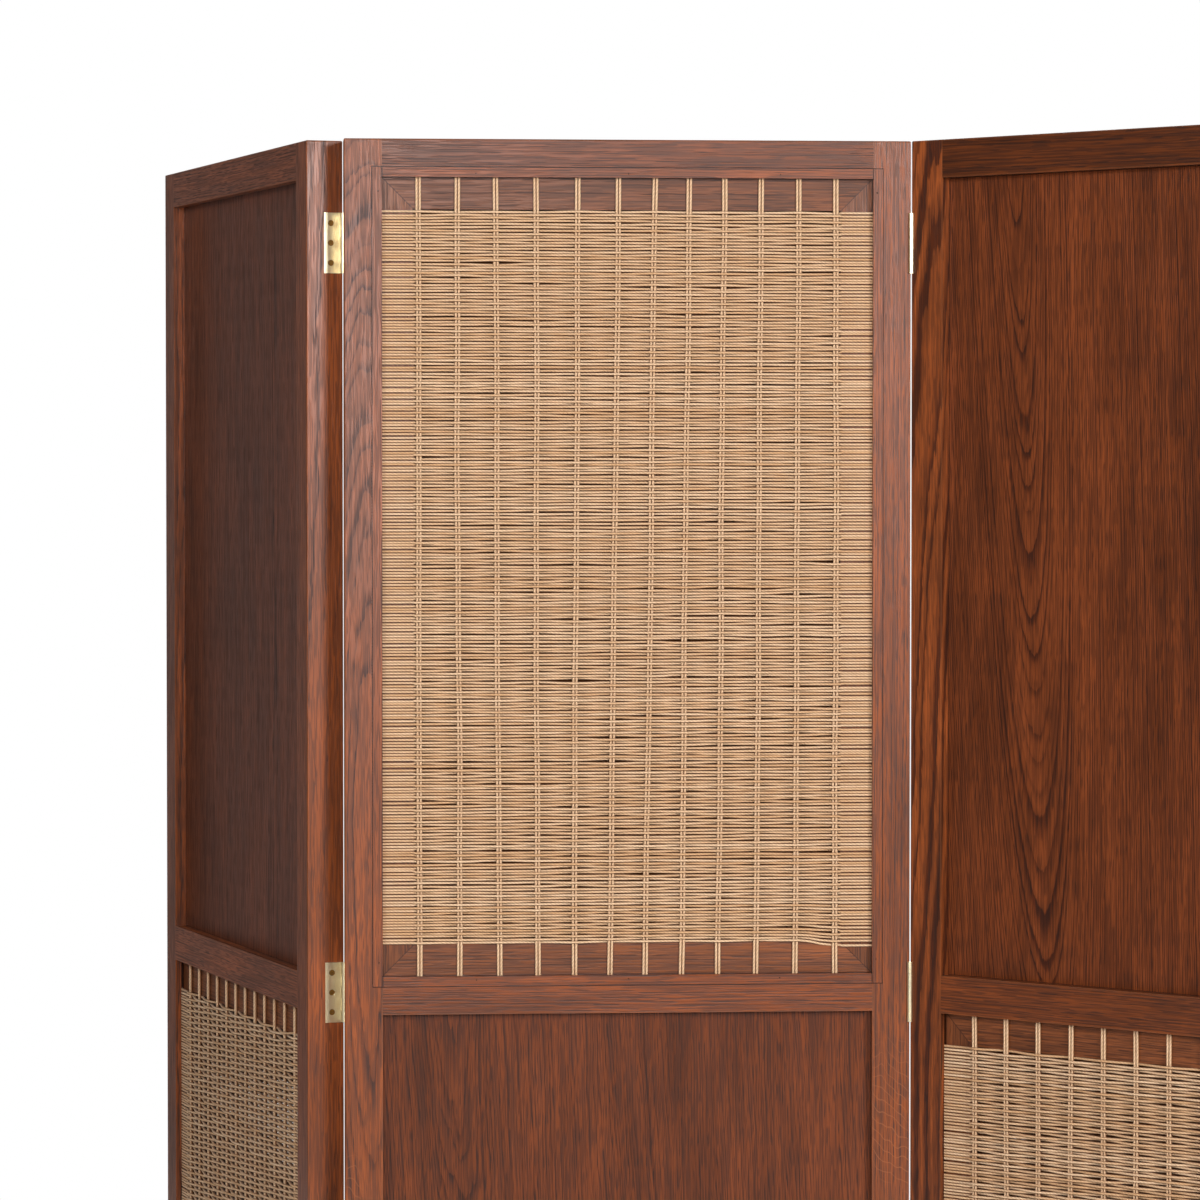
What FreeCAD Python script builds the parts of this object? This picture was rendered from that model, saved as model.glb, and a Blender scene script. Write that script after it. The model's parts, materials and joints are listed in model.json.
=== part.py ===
"""A folding partition screen: three oak leaves, hinged in a zigzag.

Each leaf has two stiles and three rails.  One of its bays holds a flat veneered panel in grooves.  The
other holds a mitred inner frame, wound with cord from end to end and woven across, which sits in a rebate
behind stop beads.  The side leaves are the middle leaf turned end over end, so that the bays alternate.
The left hinges fold back and the right hinges fold forward.

Every leaf is drawn in its own frame: X across it, Y through it with the beads on the low side, Z up from
the floor, and the woven bay on top.  A leaf's placement then turns it and stands it in the screen.
"""

import FreeCAD, Part

import math
import os
import re

import Sketcher

SIZES = (
    ("leaf_width", 600, "one leaf from edge to edge"),
    ("leaf_height", 1810, "floor to the top of the frame"),
    ("leaf_thickness", 40, "stiles and rails through the leaf"),
    ("leaf_gap", 0.3, "between two leaves laid flat"),
    ("left_fold", 74.4, "degrees that the left leaf is folded back from flat"),
    ("right_fold", 43.9, "degrees that the right leaf is folded forward from flat"),
    ("member_width", 40, "face of a stile or rail"),
    ("arris_radius", 1.5, "rounding of the leaf's outer edges"),
    ("tenon_length", 22, "rail tenon into the stile"),
    ("tenon_thickness", 12, "rail tenon through the leaf"),
    ("tenon_clearance", 0.1, "round a tenon in its mortise"),
    ("panel_thickness", 14, "flat veneered panel"),
    ("panel_clearance", 0.1, "each face of the panel in its groove"),
    ("panel_edge_room", 0.5, "panel edge to the bottom of its groove"),
    ("groove_depth", 8, "panel groove in stiles and rails"),
    ("rebate_width", 11, "rebate round the woven bay, filled by the beads"),
    ("bead_clearance", 0.35, "beads to the rebate and to each other"),
    ("bead_pin_radius", 0.7, "headless pin through a bead"),
    ("bead_pin_length", 17, "headless pin from end to end"),
    ("bead_pin_set", 0.5, "pin's end below the bead's face"),
    ("bead_pin_inset", 3.5, "pin from the inner frame's edge"),
    ("bead_pin_drop", 15, "pin in an upright bead from the end of the bay"),
    ("bead_pin_clearance", 0.05, "round a pin in its hole"),
    ("inner_thickness", 20, "inner frame through the leaf"),
    ("inner_member_width", 41, "face of an inner frame member"),
    ("inner_arris_radius", 3, "rounding where cord goes over the inner frame"),
    ("cord_diameter", 3, "warp and weft cord"),
    ("cord_seat", 0.1, "cord to the wood that it lies on"),
    ("cord_slack", 0.1, "cord to the lip and the beads"),
    ("cord_room", 0.4, "cord to the wall of the rebate"),
    ("cord_clearance", 0.25, "warp to the weft around it"),
    ("pair_gap", 0.45, "between the two cords of a warp pair"),
    ("pair_margin", 5, "inner stile's edge to the middle of the first warp pair"),
    ("hinge_inset", 108, "end of the leaf's frame to the middle of a hinge"),
    ("hinge_length", 64, "hinge along its pin"),
    ("hinge_plate_width", 20.5, "plate from the leaf's face inwards"),
    ("hinge_plate_thickness", 2, "plate let into the stile's edge"),
    ("hinge_recess_clearance", 0.1, "ends of a plate in its recess"),
    ("hinge_offset", 0.2, "pin's axis outside the leaf's face"),
    ("knuckle_radius", 3.2, "outside of the barrel"),
    ("knuckle_clearance", 0.3, "knuckle to the other plate's edge"),
    ("knuckle_end_gap", 0.2, "between neighbouring knuckles"),
    ("hinge_pin_radius", 1.8, "hinge pin"),
    ("hinge_pin_clearance", 0.05, "hinge pin in its knuckles"),
    ("screw_spacing", 21, "between the screws of a plate"),
    ("screw_inset", 7.5, "screw line from the plate's inner edge"),
    ("screw_length", 15, "screw from end to end"),
    ("screw_head_radius", 3.2, "countersunk head"),
    ("screw_head_height", 1.3, "countersunk head"),
    ("screw_set", 0.6, "head's face below the plate's face"),
    ("screw_shank_radius", 1.6, "shank below the head"),
    ("screw_tip_length", 4, "tapered end"),
    ("screw_tip_radius", 0.3, "blunt point"),
    ("screw_clearance", 0.1, "round a screw in its hole"),
    ("screw_slot_width", 0.9, "arm of the cross recess"),
    ("screw_slot_length", 3.4, "cross recess over both arms"),
    ("screw_slot_depth", 1, "cross recess below the head's face"),
    ("glide_radius", 11, "floor glide"),
    ("glide_height", 4, "floor glide under the stile"),
    ("glide_spike_radius", 1.5, "spike into the stile"),
    ("glide_spike_length", 9, "spike into the stile, short of the rail's tenon"),
    ("glide_spike_clearance", 0.1, "round a spike in its hole"),
)

WARP_PAIRS = 12
PINS_ALONG_RAIL = (-4, 0, 4)
KNUCKLES = 5
SCREWS_PER_PLATE = 3
BOTH_SIDES = (-1, 1)
LEAVES = {"left": -1, "middle": 0, "right": 1}
UP = FreeCAD.Vector(0, 0, 1)
ACROSS = FreeCAD.Vector(1, 0, 0)
THROUGH = FreeCAD.Vector(0, 1, 0)

# Places in a leaf, as formulas of the sizes.
HALF_WIDTH = "(leaf_width / 2)"
HALF_DEPTH = "(leaf_thickness / 2)"
MIDDLE = "((leaf_height + glide_height) / 2)"
BAY_SIDE = "(leaf_width / 2 - member_width)"
PANEL_LOW = "(glide_height + member_width)"
PANEL_TOP = f"({MIDDLE} - member_width / 2)"
WEAVE_LOW = f"({MIDDLE} + member_width / 2)"
WEAVE_TOP = "(leaf_height - member_width)"
TENON_HALF = "(member_width / 2 - max(rebate_width; groove_depth))"
CORD_LAYER = "(cord_seat + cord_diameter)"
INNER_FACE = "(inner_thickness / 2)"
LIP = f"({INNER_FACE} + {CORD_LAYER} + cord_slack)"
INNER_SIDE = f"({BAY_SIDE} + rebate_width - cord_room - {CORD_LAYER})"
INNER_LOW = f"({WEAVE_LOW} - rebate_width + cord_room + {CORD_LAYER})"
INNER_TOP = f"({WEAVE_TOP} + rebate_width - cord_room - {CORD_LAYER})"
WARP_PLANE = f"({INNER_FACE} + cord_seat + cord_diameter / 2)"
PAIR_PITCH = f"(2 * ({INNER_SIDE} - inner_member_width - pair_margin) / {WARP_PAIRS - 1})"
PAIR_HALF = "(cord_diameter + pair_gap / 2)"
SCREW_LINE = "-(hinge_offset + hinge_plate_width - screw_inset)"
HINGE_LEVELS = ("glide_height + hinge_inset", MIDDLE, "leaf_height - hinge_inset")

doc = FreeCAD.newDocument("PartitionScreen")
sheet = doc.addObject("Spreadsheet::Sheet", "Sizes")
for row, (alias, number, meaning) in enumerate(SIZES, start=1):
    sheet.set(f"A{row}", meaning)
    sheet.set(f"B{row}", str(number))
    sheet.setAlias(f"B{row}", alias)
doc.recompute()
CELLS = {alias: f"Sizes.{alias}" for alias, number, meaning in SIZES}

nodes = []


def value(alias):
    """A size as the sheet holds it."""
    return float(sheet.get(alias))


def formula(text):
    """A formula with every size's name pointed at its cell."""
    return re.sub(r"[a-z_]+", lambda word: CELLS.get(word.group(), word.group()), text)


def bind(item, prop, text):
    """Tie one property of an object to a formula of the sizes."""
    item.setExpression(prop, formula(text))


def place(item, point):
    """Tie an object's base point to three formulas."""
    for axis, text in zip("xyz", point):
        bind(item, f"Placement.Base.{axis}", text)


def about(half):
    """The range of a width that is centred on zero."""
    return (f"-({half})", half)


def outward(sign, near, far):
    """The range between two distances from zero, on the side that the sign gives."""
    return (near, far) if sign > 0 else (f"-({far})", f"-({near})")


def block(across, through, up):
    """A box over three ranges, each a pair of formulas."""
    item = doc.addObject("Part::Box", "Block")
    for prop, (low, high) in zip(("Length", "Width", "Height"), (across, through, up)):
        bind(item, prop, f"({high}) - ({low})")
    place(item, (across[0], through[0], up[0]))
    return item


def rod(radius, length, base, axis):
    """A cylinder from a base point along an axis."""
    item = doc.addObject("Part::Cylinder", "Rod")
    bind(item, "Radius", radius)
    bind(item, "Height", length)
    item.Placement.Rotation = FreeCAD.Rotation(UP, axis)
    place(item, base)
    return item


def cone(low_radius, high_radius, height, base, axis):
    """A cone from a base point along an axis."""
    item = doc.addObject("Part::Cone", "Taper")
    bind(item, "Radius1", low_radius)
    bind(item, "Radius2", high_radius)
    bind(item, "Height", height)
    item.Placement.Rotation = FreeCAD.Rotation(UP, axis)
    place(item, base)
    return item


def join(items):
    """One solid from several that overlap or touch."""
    item = doc.addObject("Part::MultiFuse", "Joined")
    item.Shapes = items
    return item


def group(items):
    """Several solids kept apart in one object."""
    item = doc.addObject("Part::Compound", "Group")
    item.Links = items
    return item


def carve(base, tool):
    """An object less a tool."""
    item = doc.addObject("Part::Cut", "Carved")
    item.Base = base
    item.Tool = tool
    return item


def ease(base, chosen):
    """A block with the arrises rounded whose middle points pass a test."""
    doc.recompute()
    radius = value("arris_radius")
    item = doc.addObject("Part::Fillet", "Eased")
    item.Base = base
    item.Edges = [
        (number, radius, radius)
        for number, edge in enumerate(base.Shape.Edges, start=1)
        if chosen(edge.CenterOfMass, base.Shape.BoundBox)
    ]
    return item


def copies(master, points, turn=FreeCAD.Rotation()):
    """A group of copies of one object, each at a point given by formulas."""
    links = []
    for point in points:
        link = doc.addObject("App::Link", "Copy")
        link.LinkedObject = master
        link.Placement.Rotation = turn
        place(link, point)
        links.append(link)
    return group(links)


def name_node(item, label, placement):
    """Make an object a sub-part of the screen, standing at a placement."""
    item.Label = label
    item.Placement = placement
    nodes.append(item)


def near(one, other):
    """Whether two lengths are the same to a micrometre."""
    return abs(one - other) < 1e-3


def stile_tools(sign, hinged, foot_up):
    """What is cut from a stile: mortises, panel groove, rebate, hinge recesses and holes."""
    inner = outward(sign, BAY_SIDE, f"{BAY_SIDE} + tenon_length + tenon_clearance")
    tenon_room = about("tenon_thickness / 2 + tenon_clearance")
    tools = []
    for level in ("glide_height + member_width / 2", MIDDLE, "leaf_height - member_width / 2"):
        half = f"({TENON_HALF} + tenon_clearance)"
        tools.append(block(inner, tenon_room, (f"{level} - {half}", f"{level} + {half}")))
    tools.append(block(
        outward(sign, BAY_SIDE, f"{BAY_SIDE} + groove_depth"),
        about("panel_thickness / 2 + panel_clearance"),
        (f"{PANEL_LOW} - groove_depth", f"{PANEL_TOP} + groove_depth"),
    ))
    tools.append(block(
        outward(sign, BAY_SIDE, f"{BAY_SIDE} + rebate_width"),
        (f"-{HALF_DEPTH}", LIP),
        (f"{WEAVE_LOW} - rebate_width", f"{WEAVE_TOP} + rebate_width"),
    ))
    hole_foot = "leaf_height - glide_spike_length - glide_spike_clearance" if foot_up else "glide_height"
    tools.append(rod(
        "glide_spike_radius + glide_spike_clearance",
        "glide_spike_length + glide_spike_clearance",
        (f"{sign} * ({HALF_WIDTH} - member_width / 2)", "0", hole_foot),
        UP,
    ))
    if hinged:
        tools += [tool for level in HINGE_LEVELS for tool in hinge_recess(sign, level)]
    return tools


def hinge_recess(sign, level):
    """The recess, barrel room and screw holes for one plate in a stile's outer edge.

    The left stile has its hinges on the high face and the right stile on the low face.
    """
    reach = "(hinge_length / 2 + hinge_recess_clearance)"
    yield block(
        outward(sign, f"{HALF_WIDTH} - hinge_plate_thickness", HALF_WIDTH),
        outward(-sign, f"{HALF_DEPTH} - hinge_plate_width - hinge_recess_clearance", HALF_DEPTH),
        (f"{level} - {reach}", f"{level} + {reach}"),
    )
    yield rod(
        "knuckle_radius + knuckle_clearance",
        f"2 * {reach}",
        (
            f"{sign} * ({HALF_WIDTH} + leaf_gap / 2)",
            f"{-sign} * ({HALF_DEPTH} + hinge_offset)",
            f"{level} - {reach}",
        ),
        UP,
    )
    for step in screw_steps():
        yield rod(
            "screw_shank_radius + screw_clearance",
            "screw_length + screw_set + screw_clearance",
            (
                f"{sign} * {HALF_WIDTH}",
                f"{-sign} * ({HALF_DEPTH} - hinge_plate_width + screw_inset)",
                f"{level} + {step} * screw_spacing",
            ),
            ACROSS * -sign,
        )


def screw_steps():
    """The screws of a plate, counted from its middle."""
    return [number - (SCREWS_PER_PLATE - 1) / 2 for number in range(SCREWS_PER_PLATE)]


def stile(sign, hinged, foot_up):
    """A stile on one side of a leaf, its outer and end edges rounded."""
    base = block(
        outward(sign, BAY_SIDE, HALF_WIDTH), about(HALF_DEPTH), ("glide_height", "leaf_height")
    )

    def outer_edge(middle, box):
        outer = near(middle.x, box.XMax if sign > 0 else box.XMin)
        end = near(middle.z, box.ZMin) or near(middle.z, box.ZMax)
        face = near(middle.y, box.YMin) or near(middle.y, box.YMax)
        return outer or (end and face)

    return carve(ease(base, outer_edge), join(stile_tools(sign, hinged, foot_up)))


def tenons(level):
    """The two tenons of a rail, each with a root inside the rail."""
    up = (f"{level} - {TENON_HALF}", f"{level} + {TENON_HALF}")
    return [
        block(
            outward(sign, f"{BAY_SIDE} - tenon_length", f"{BAY_SIDE} + tenon_length"),
            about("tenon_thickness / 2"),
            up,
        )
        for sign in BOTH_SIDES
    ]


def rail_groove(low, high):
    """The panel groove along a rail."""
    return block(about(BAY_SIDE), about("panel_thickness / 2 + panel_clearance"), (low, high))


def rail_rebate(low, high):
    """The rebate for the woven frame along a rail."""
    return block(about(BAY_SIDE), (f"-{HALF_DEPTH}", LIP), (low, high))


def end_rail(level, top):
    """A rail at one end of a leaf, with its outer arrises rounded."""
    base = block(
        about(BAY_SIDE), about(HALF_DEPTH), (f"{level} - member_width / 2", f"{level} + member_width / 2")
    )

    def outer_edge(middle, box):
        face = near(middle.y, box.YMin) or near(middle.y, box.YMax)
        return face and near(middle.z, box.ZMax if top else box.ZMin)

    return join([ease(base, outer_edge)] + tenons(level))


def panel_rail():
    """The rail at the panel's end of a leaf."""
    whole = end_rail("(glide_height + member_width / 2)", top=False)
    return carve(whole, rail_groove(f"{PANEL_LOW} - groove_depth", PANEL_LOW))


def weave_rail():
    """The rail at the woven end of a leaf."""
    whole = end_rail("(leaf_height - member_width / 2)", top=True)
    return carve(whole, rail_rebate(WEAVE_TOP, f"{WEAVE_TOP} + rebate_width"))


def middle_rail():
    """The rail between the bays, grooved below and rebated above."""
    base = block(about(BAY_SIDE), about(HALF_DEPTH), (PANEL_TOP, WEAVE_LOW))
    groove = rail_groove(PANEL_TOP, f"{PANEL_TOP} + groove_depth")
    rebate = rail_rebate(f"{WEAVE_LOW} - rebate_width", WEAVE_LOW)
    return carve(join([base] + tenons(MIDDLE)), group([groove, rebate]))


def flat_panel():
    """The veneered panel, with its edges in the grooves."""
    reach = "groove_depth - panel_edge_room"
    return group([block(
        about(f"{BAY_SIDE} + {reach}"),
        about("panel_thickness / 2"),
        (f"{PANEL_LOW} - ({reach})", f"{PANEL_TOP} + {reach}"),
    )])


def bead_pin_points():
    """Where the bead pins are, across and up: near the ends of the uprights, and between warp pairs."""
    points = []
    for sign in BOTH_SIDES:
        for level in (f"{WEAVE_LOW} + bead_pin_drop", f"{WEAVE_TOP} - bead_pin_drop"):
            points.append((f"{sign} * ({INNER_SIDE} - bead_pin_inset)", level))
    for step in PINS_ALONG_RAIL:
        for level in (f"{INNER_LOW} + bead_pin_inset", f"{INNER_TOP} - bead_pin_inset"):
            points.append((f"{step} * {PAIR_PITCH}", level))
    return points


def bead_pins():
    """The headless pins, set a little below the beads' face."""
    return group([
        rod("bead_pin_radius", "bead_pin_length", (across, f"bead_pin_set - {HALF_DEPTH}", up), THROUGH)
        for across, up in bead_pin_points()
    ])


def bead_pin_holes():
    """The holes that the pins make in the beads and in the inner frame."""
    return group([
        rod(
            "bead_pin_radius + bead_pin_clearance",
            "bead_pin_set + bead_pin_length + bead_pin_clearance",
            (across, f"-{HALF_DEPTH}", up),
            THROUGH,
        )
        for across, up in bead_pin_points()
    ])


def stop_beads(holes):
    """Two upright beads and two lying between them, flush with the leaf's face."""
    through = (f"-{HALF_DEPTH}", f"-{LIP}")
    low_end = f"{WEAVE_LOW} - rebate_width + bead_clearance"
    top_end = f"{WEAVE_TOP} + rebate_width - bead_clearance"
    beads = [
        block(
            outward(sign, BAY_SIDE, f"{BAY_SIDE} + rebate_width - bead_clearance"),
            through,
            (low_end, top_end),
        )
        for sign in BOTH_SIDES
    ]
    for up in ((low_end, WEAVE_LOW), (WEAVE_TOP, top_end)):
        beads.append(block(about(f"{BAY_SIDE} - bead_clearance"), through, up))
    return carve(group(beads), holes)


def outline(body, corners):
    """A closed outline on a body's upright plane, every corner tied to two formulas."""
    plane = next(item for item in body.Origin.OriginFeatures if item.Role == "XZ_Plane")
    sketch = body.newObject("Sketcher::SketchObject", "Outline")
    sketch.AttachmentSupport = (plane, "")
    sketch.MapMode = "FlatFace"
    start = [FreeCAD.Vector(math.cos(turn), math.sin(turn), 0) for turn in range(len(corners))]
    for number, point in enumerate(start):
        sketch.addGeometry(Part.LineSegment(point, start[(number + 1) % len(start)]))
    for number, point in enumerate(start):
        sketch.addConstraint(Sketcher.Constraint("Coincident", number, 2, (number + 1) % len(start), 1))
    for number, (point, corner) in enumerate(zip(start, corners)):
        for kind, length, text in zip(("DistanceX", "DistanceY"), point, corner):
            tie = sketch.addConstraint(Sketcher.Constraint(kind, -1, 1, number, 1, length))
            bind(sketch, f"Constraints[{tie}]", text)
    return sketch


def mitred_member(corners, outer_edge, holes):
    """One member of the inner frame, rounded where the cord goes over it."""
    body = doc.addObject("PartDesign::Body", "Member")
    pad = body.newObject("PartDesign::Pad", "Thickness")
    pad.Profile = outline(body, corners)
    pad.SideType = "Symmetric"
    bind(pad, "Length", "inner_thickness")
    doc.recompute()
    rounding = body.newObject("PartDesign::Fillet", "Rounding")
    edges = enumerate(pad.Shape.Edges, start=1)
    chosen = [f"Edge{number}" for number, edge in edges if outer_edge(edge, pad.Shape.BoundBox)]
    rounding.Base = (pad, chosen)
    bind(rounding, "Radius", "inner_arris_radius")
    return carve(body, holes)


def inner_rail(top, holes):
    """The top or bottom member of the inner frame, mitred at both ends."""
    inner_side = f"({INNER_SIDE} - inner_member_width)"
    outer = INNER_TOP if top else INNER_LOW
    inner = f"{INNER_TOP} - inner_member_width" if top else f"{INNER_LOW} + inner_member_width"
    corners = (
        (f"-{INNER_SIDE}", outer), (INNER_SIDE, outer), (inner_side, inner), (f"-{inner_side}", inner)
    )

    def outer_edge(edge, box):
        along = near(edge.BoundBox.XLength, box.XLength)
        return along and near(edge.CenterOfMass.z, box.ZMax if top else box.ZMin)

    return mitred_member(corners, outer_edge, holes)


def inner_stile(sign, holes):
    """A side member of the inner frame, mitred at both ends."""
    outer = f"{sign} * {INNER_SIDE}"
    inner = f"{sign} * ({INNER_SIDE} - inner_member_width)"
    corners = (
        (outer, INNER_LOW),
        (outer, INNER_TOP),
        (inner, f"{INNER_TOP} - inner_member_width"),
        (inner, f"{INNER_LOW} + inner_member_width"),
    )

    def outer_edge(edge, box):
        along = near(edge.BoundBox.ZLength, box.ZLength)
        return along and near(edge.CenterOfMass.x, box.XMax if sign > 0 else box.XMin)

    return mitred_member(corners, outer_edge, holes)


def pair_places():
    """The warp pairs, counted from the middle of the leaf."""
    return [number - (WARP_PAIRS - 1) / 2 for number in range(WARP_PAIRS)]


def weft_mat():
    """The weft as one band round the inner stiles, with channels for the warp on both faces."""
    up = (
        f"{INNER_LOW} + inner_member_width + cord_clearance",
        f"{INNER_TOP} - inner_member_width - cord_clearance",
    )
    band = carve(
        block(about(f"{INNER_SIDE} + {CORD_LAYER}"), about(f"{INNER_FACE} + {CORD_LAYER}"), up),
        block(about(f"{INNER_SIDE} + cord_seat"), about(f"{INNER_FACE} + cord_seat"), up),
    )
    sheets = [
        block(
            about(f"{INNER_SIDE} - inner_member_width - cord_clearance"),
            outward(sign, f"{WARP_PLANE} - cord_diameter", f"{WARP_PLANE} + cord_diameter"),
            up,
        )
        for sign in BOTH_SIDES
    ]
    half = f"({PAIR_HALF} + cord_clearance)"
    depth = (f"{INNER_FACE} + cord_seat - cord_clearance", f"{WARP_PLANE} + cord_diameter")
    channels = []
    for pair in pair_places():
        across = (f"{pair} * {PAIR_PITCH} - {half}", f"{pair} * {PAIR_PITCH} + {half}")
        channels += [block(across, outward(sign, *depth), up) for sign in BOTH_SIDES]
    return carve(join([band] + sheets), group(channels))


def warp_route(frame):
    """The corners of the warp's route: down the front, under, up the back and over, loop after loop.

    The two ends lie on the top edge, half a pair's pitch beyond the first and the last loop.
    """
    off = value("cord_seat") + value("cord_diameter") / 2
    first_pair = frame.XMax - value("inner_member_width") - value("pair_margin")
    pitch = 2 * first_pair / (WARP_PAIRS - 1)
    half_step = FreeCAD.Vector(pitch / 2, 0, 0)
    half_pair = (value("cord_diameter") + value("pair_gap")) / 2
    across = [pair * pitch + side * half_pair for pair in pair_places() for side in BOTH_SIDES]
    top = frame.ZMax + off
    corners = [FreeCAD.Vector(across[0], 0, top) - half_step]
    for x in across:
        corners.append(FreeCAD.Vector(x, frame.YMin - off, top))
        corners.append(FreeCAD.Vector(x, frame.YMin - off, frame.ZMin - off))
        corners.append(FreeCAD.Vector(x, frame.YMax + off, frame.ZMin - off))
        corners.append(FreeCAD.Vector(x, frame.YMax + off, top))
    corners.append(FreeCAD.Vector(across[-1], 0, top) + half_step)
    return corners


def rounded_path(corners, radius):
    """Straight runs between corners, joined by tangent arcs of one radius."""
    edges = []
    start = corners[0]
    for before, corner, after in zip(corners, corners[1:], corners[2:]):
        back = (before - corner).normalize()
        on = (after - corner).normalize()
        half = back.getAngle(on) / 2
        trim = radius / math.tan(half)
        enter = corner + back * trim
        leave = corner + on * trim
        inside = (back + on).normalize()
        bend = corner + inside * (radius / math.sin(half) - radius)
        edges.append(Part.LineSegment(start, enter).toShape())
        edges.append(Part.Arc(enter, bend, leave).toShape())
        start = leave
    edges.append(Part.LineSegment(start, corners[-1]).toShape())
    return edges


def least_gap(edges, diameter):
    """The least distance between two loops of a wound cord, less its diameter, measured on points."""
    points_per_edge = 25
    edges_per_loop = 8
    count = len(edges) // edges_per_loop
    loops = [edges[number * edges_per_loop:(number + 1) * edges_per_loop] for number in range(count)]
    least = math.inf
    for loop, following in zip(loops, loops[1:]):
        for number, edge in enumerate(loop):
            beside = following[number]
            for point in edge.discretize(points_per_edge):
                reach = min(point.distanceToPoint(other) for other in beside.discretize(points_per_edge))
                least = min(least, reach)
    return least - diameter


def warp_cord(frame):
    """The warp: one cord wound round the inner frame, whose box gives the places of its edges."""
    diameter = value("cord_diameter")
    bend_radius = value("inner_arris_radius") + value("cord_seat") + diameter / 2
    corners = warp_route(frame)
    edges = rounded_path(corners, bend_radius)
    section = Part.Circle(corners[0], corners[1] - corners[0], diameter / 2)
    path = Part.Wire(edges)
    item = doc.addObject("Part::Feature", "Warp")
    item.Shape = path.makePipeShell([Part.Wire([section.toShape()])], True, False)
    ideal = path.Length * math.pi * diameter ** 2 / 4
    print(f"warp: {path.Length / 1000:.2f} m of cord, volume {item.Shape.Volume / ideal:.4f} of ideal, "
          f"least gap {least_gap(edges, diameter):.2f} mm")
    return item


def glides(foot_up):
    """Two floor glides with spikes, under the stiles."""
    low = "leaf_height" if foot_up else "0"
    spike_low = "leaf_height - glide_spike_length" if foot_up else "glide_height"
    pair = []
    for sign in BOTH_SIDES:
        across = f"{sign} * ({HALF_WIDTH} - member_width / 2)"
        disc = rod("glide_radius", "glide_height", (across, "0", low), UP)
        spike = rod("glide_spike_radius", "glide_spike_length", (across, "0", spike_low), UP)
        pair.append(join([disc, spike]))
    return group(pair)


def leaf_placement(side):
    """Where a leaf's own frame stands: a side leaf is turned end over end, moved aside and folded."""
    if side == 0:
        return FreeCAD.Placement()
    end_over_end = FreeCAD.Placement(
        FreeCAD.Vector(
            side * (value("leaf_width") + value("leaf_gap")), 0, value("leaf_height") + value("glide_height")
        ),
        FreeCAD.Rotation(ACROSS, 180),
    )
    return fold(side) * end_over_end


def pin_point(side):
    """The foot of a fold's axis: behind the leaves on the left, in front of them on the right."""
    return FreeCAD.Vector(
        side * (value("leaf_width") + value("leaf_gap")) / 2,
        -side * (value("leaf_thickness") / 2 + value("hinge_offset")),
        0,
    )


def fold(side):
    """The turn of a side leaf about its pins, from flat to where it stands."""
    angle = value("left_fold") if side < 0 else value("right_fold")
    return FreeCAD.Placement(FreeCAD.Vector(), FreeCAD.Rotation(UP, -angle), pin_point(side))


def build_leaf(name, side):
    """All the wood and cord of one leaf, with hinge recesses only where a neighbour hangs."""
    leaf = f"{name}_leaf"
    turned = side != 0
    where = leaf_placement(side)
    holes = bead_pin_holes()
    panel_end, weave_end = ("top", "bottom") if turned else ("bottom", "top")
    for sign, hand in zip(BOTH_SIDES, ("left", "right")):
        hinged = side != sign
        name_node(stile(sign, hinged, turned), f"{leaf}_{hand}_stile", where)
        name_node(inner_stile(sign, holes), f"{leaf}_inner_{hand}_stile", where)
    name_node(panel_rail(), f"{leaf}_{panel_end}_rail", where)
    name_node(weave_rail(), f"{leaf}_{weave_end}_rail", where)
    name_node(middle_rail(), f"{leaf}_middle_rail", where)
    name_node(flat_panel(), f"{leaf}_veneered_panel", where)
    outer_member = inner_rail(True, holes)
    middle_member = inner_rail(False, holes)
    doc.recompute()
    frame = outer_member.Shape.BoundBox
    frame.add(middle_member.Shape.BoundBox)
    name_node(warp_cord(frame), f"{leaf}_warp_cord", where)
    name_node(outer_member, f"{leaf}_inner_{weave_end}_rail", where)
    name_node(middle_member, f"{leaf}_inner_{panel_end}_rail", where)
    name_node(weft_mat(), f"{leaf}_weft_mat", where)
    name_node(stop_beads(holes), f"{leaf}_stop_beads", where)
    name_node(bead_pins(), f"{leaf}_bead_pins", where)
    name_node(glides(turned), f"{leaf}_floor_glides", where)


def knuckle_range(number):
    """One knuckle along the pin, counted from the bottom, clear of its neighbours."""
    low = f"hinge_length * {number / KNUCKLES - 0.5} + knuckle_end_gap / 2"
    return (low, f"{low} + hinge_length / {KNUCKLES} - knuckle_end_gap")


def hinge_plate(sign, knuckles):
    """A hinge plate beside the pin's axis, with its knuckles, pin bore and deep countersunk holes."""
    across = outward(sign, "leaf_gap / 2", "leaf_gap / 2 + hinge_plate_thickness")
    free_edge = "-(knuckle_radius + knuckle_clearance)"
    inner_edge = "-(hinge_offset + hinge_plate_width)"
    solids = [block(across, (inner_edge, free_edge), about("hinge_length / 2"))]
    for number in knuckles:
        low, high = knuckle_range(number)
        solids.append(block(across, (inner_edge, "0"), (low, high)))
        solids.append(rod("knuckle_radius", f"({high}) - ({low})", ("0", "0", low), UP))
    bore = rod(
        "hinge_pin_radius + hinge_pin_clearance", "hinge_length", ("0", "0", "-hinge_length / 2"), UP
    )
    tools = [bore]
    for step in screw_steps():
        base = (f"{sign} * leaf_gap / 2", SCREW_LINE, f"{step} * screw_spacing")
        seat = (f"{sign} * (leaf_gap / 2 + screw_set)", SCREW_LINE, f"{step} * screw_spacing")
        shank = "screw_shank_radius + screw_clearance"
        head = "screw_head_radius + screw_clearance"
        tools.append(rod(shank, "hinge_plate_thickness", base, ACROSS * sign))
        tools.append(rod(head, "screw_set", base, ACROSS * sign))
        tools.append(cone(head, shank, "screw_head_height", seat, ACROSS * sign))
    return carve(join(solids), join(tools))


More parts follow.
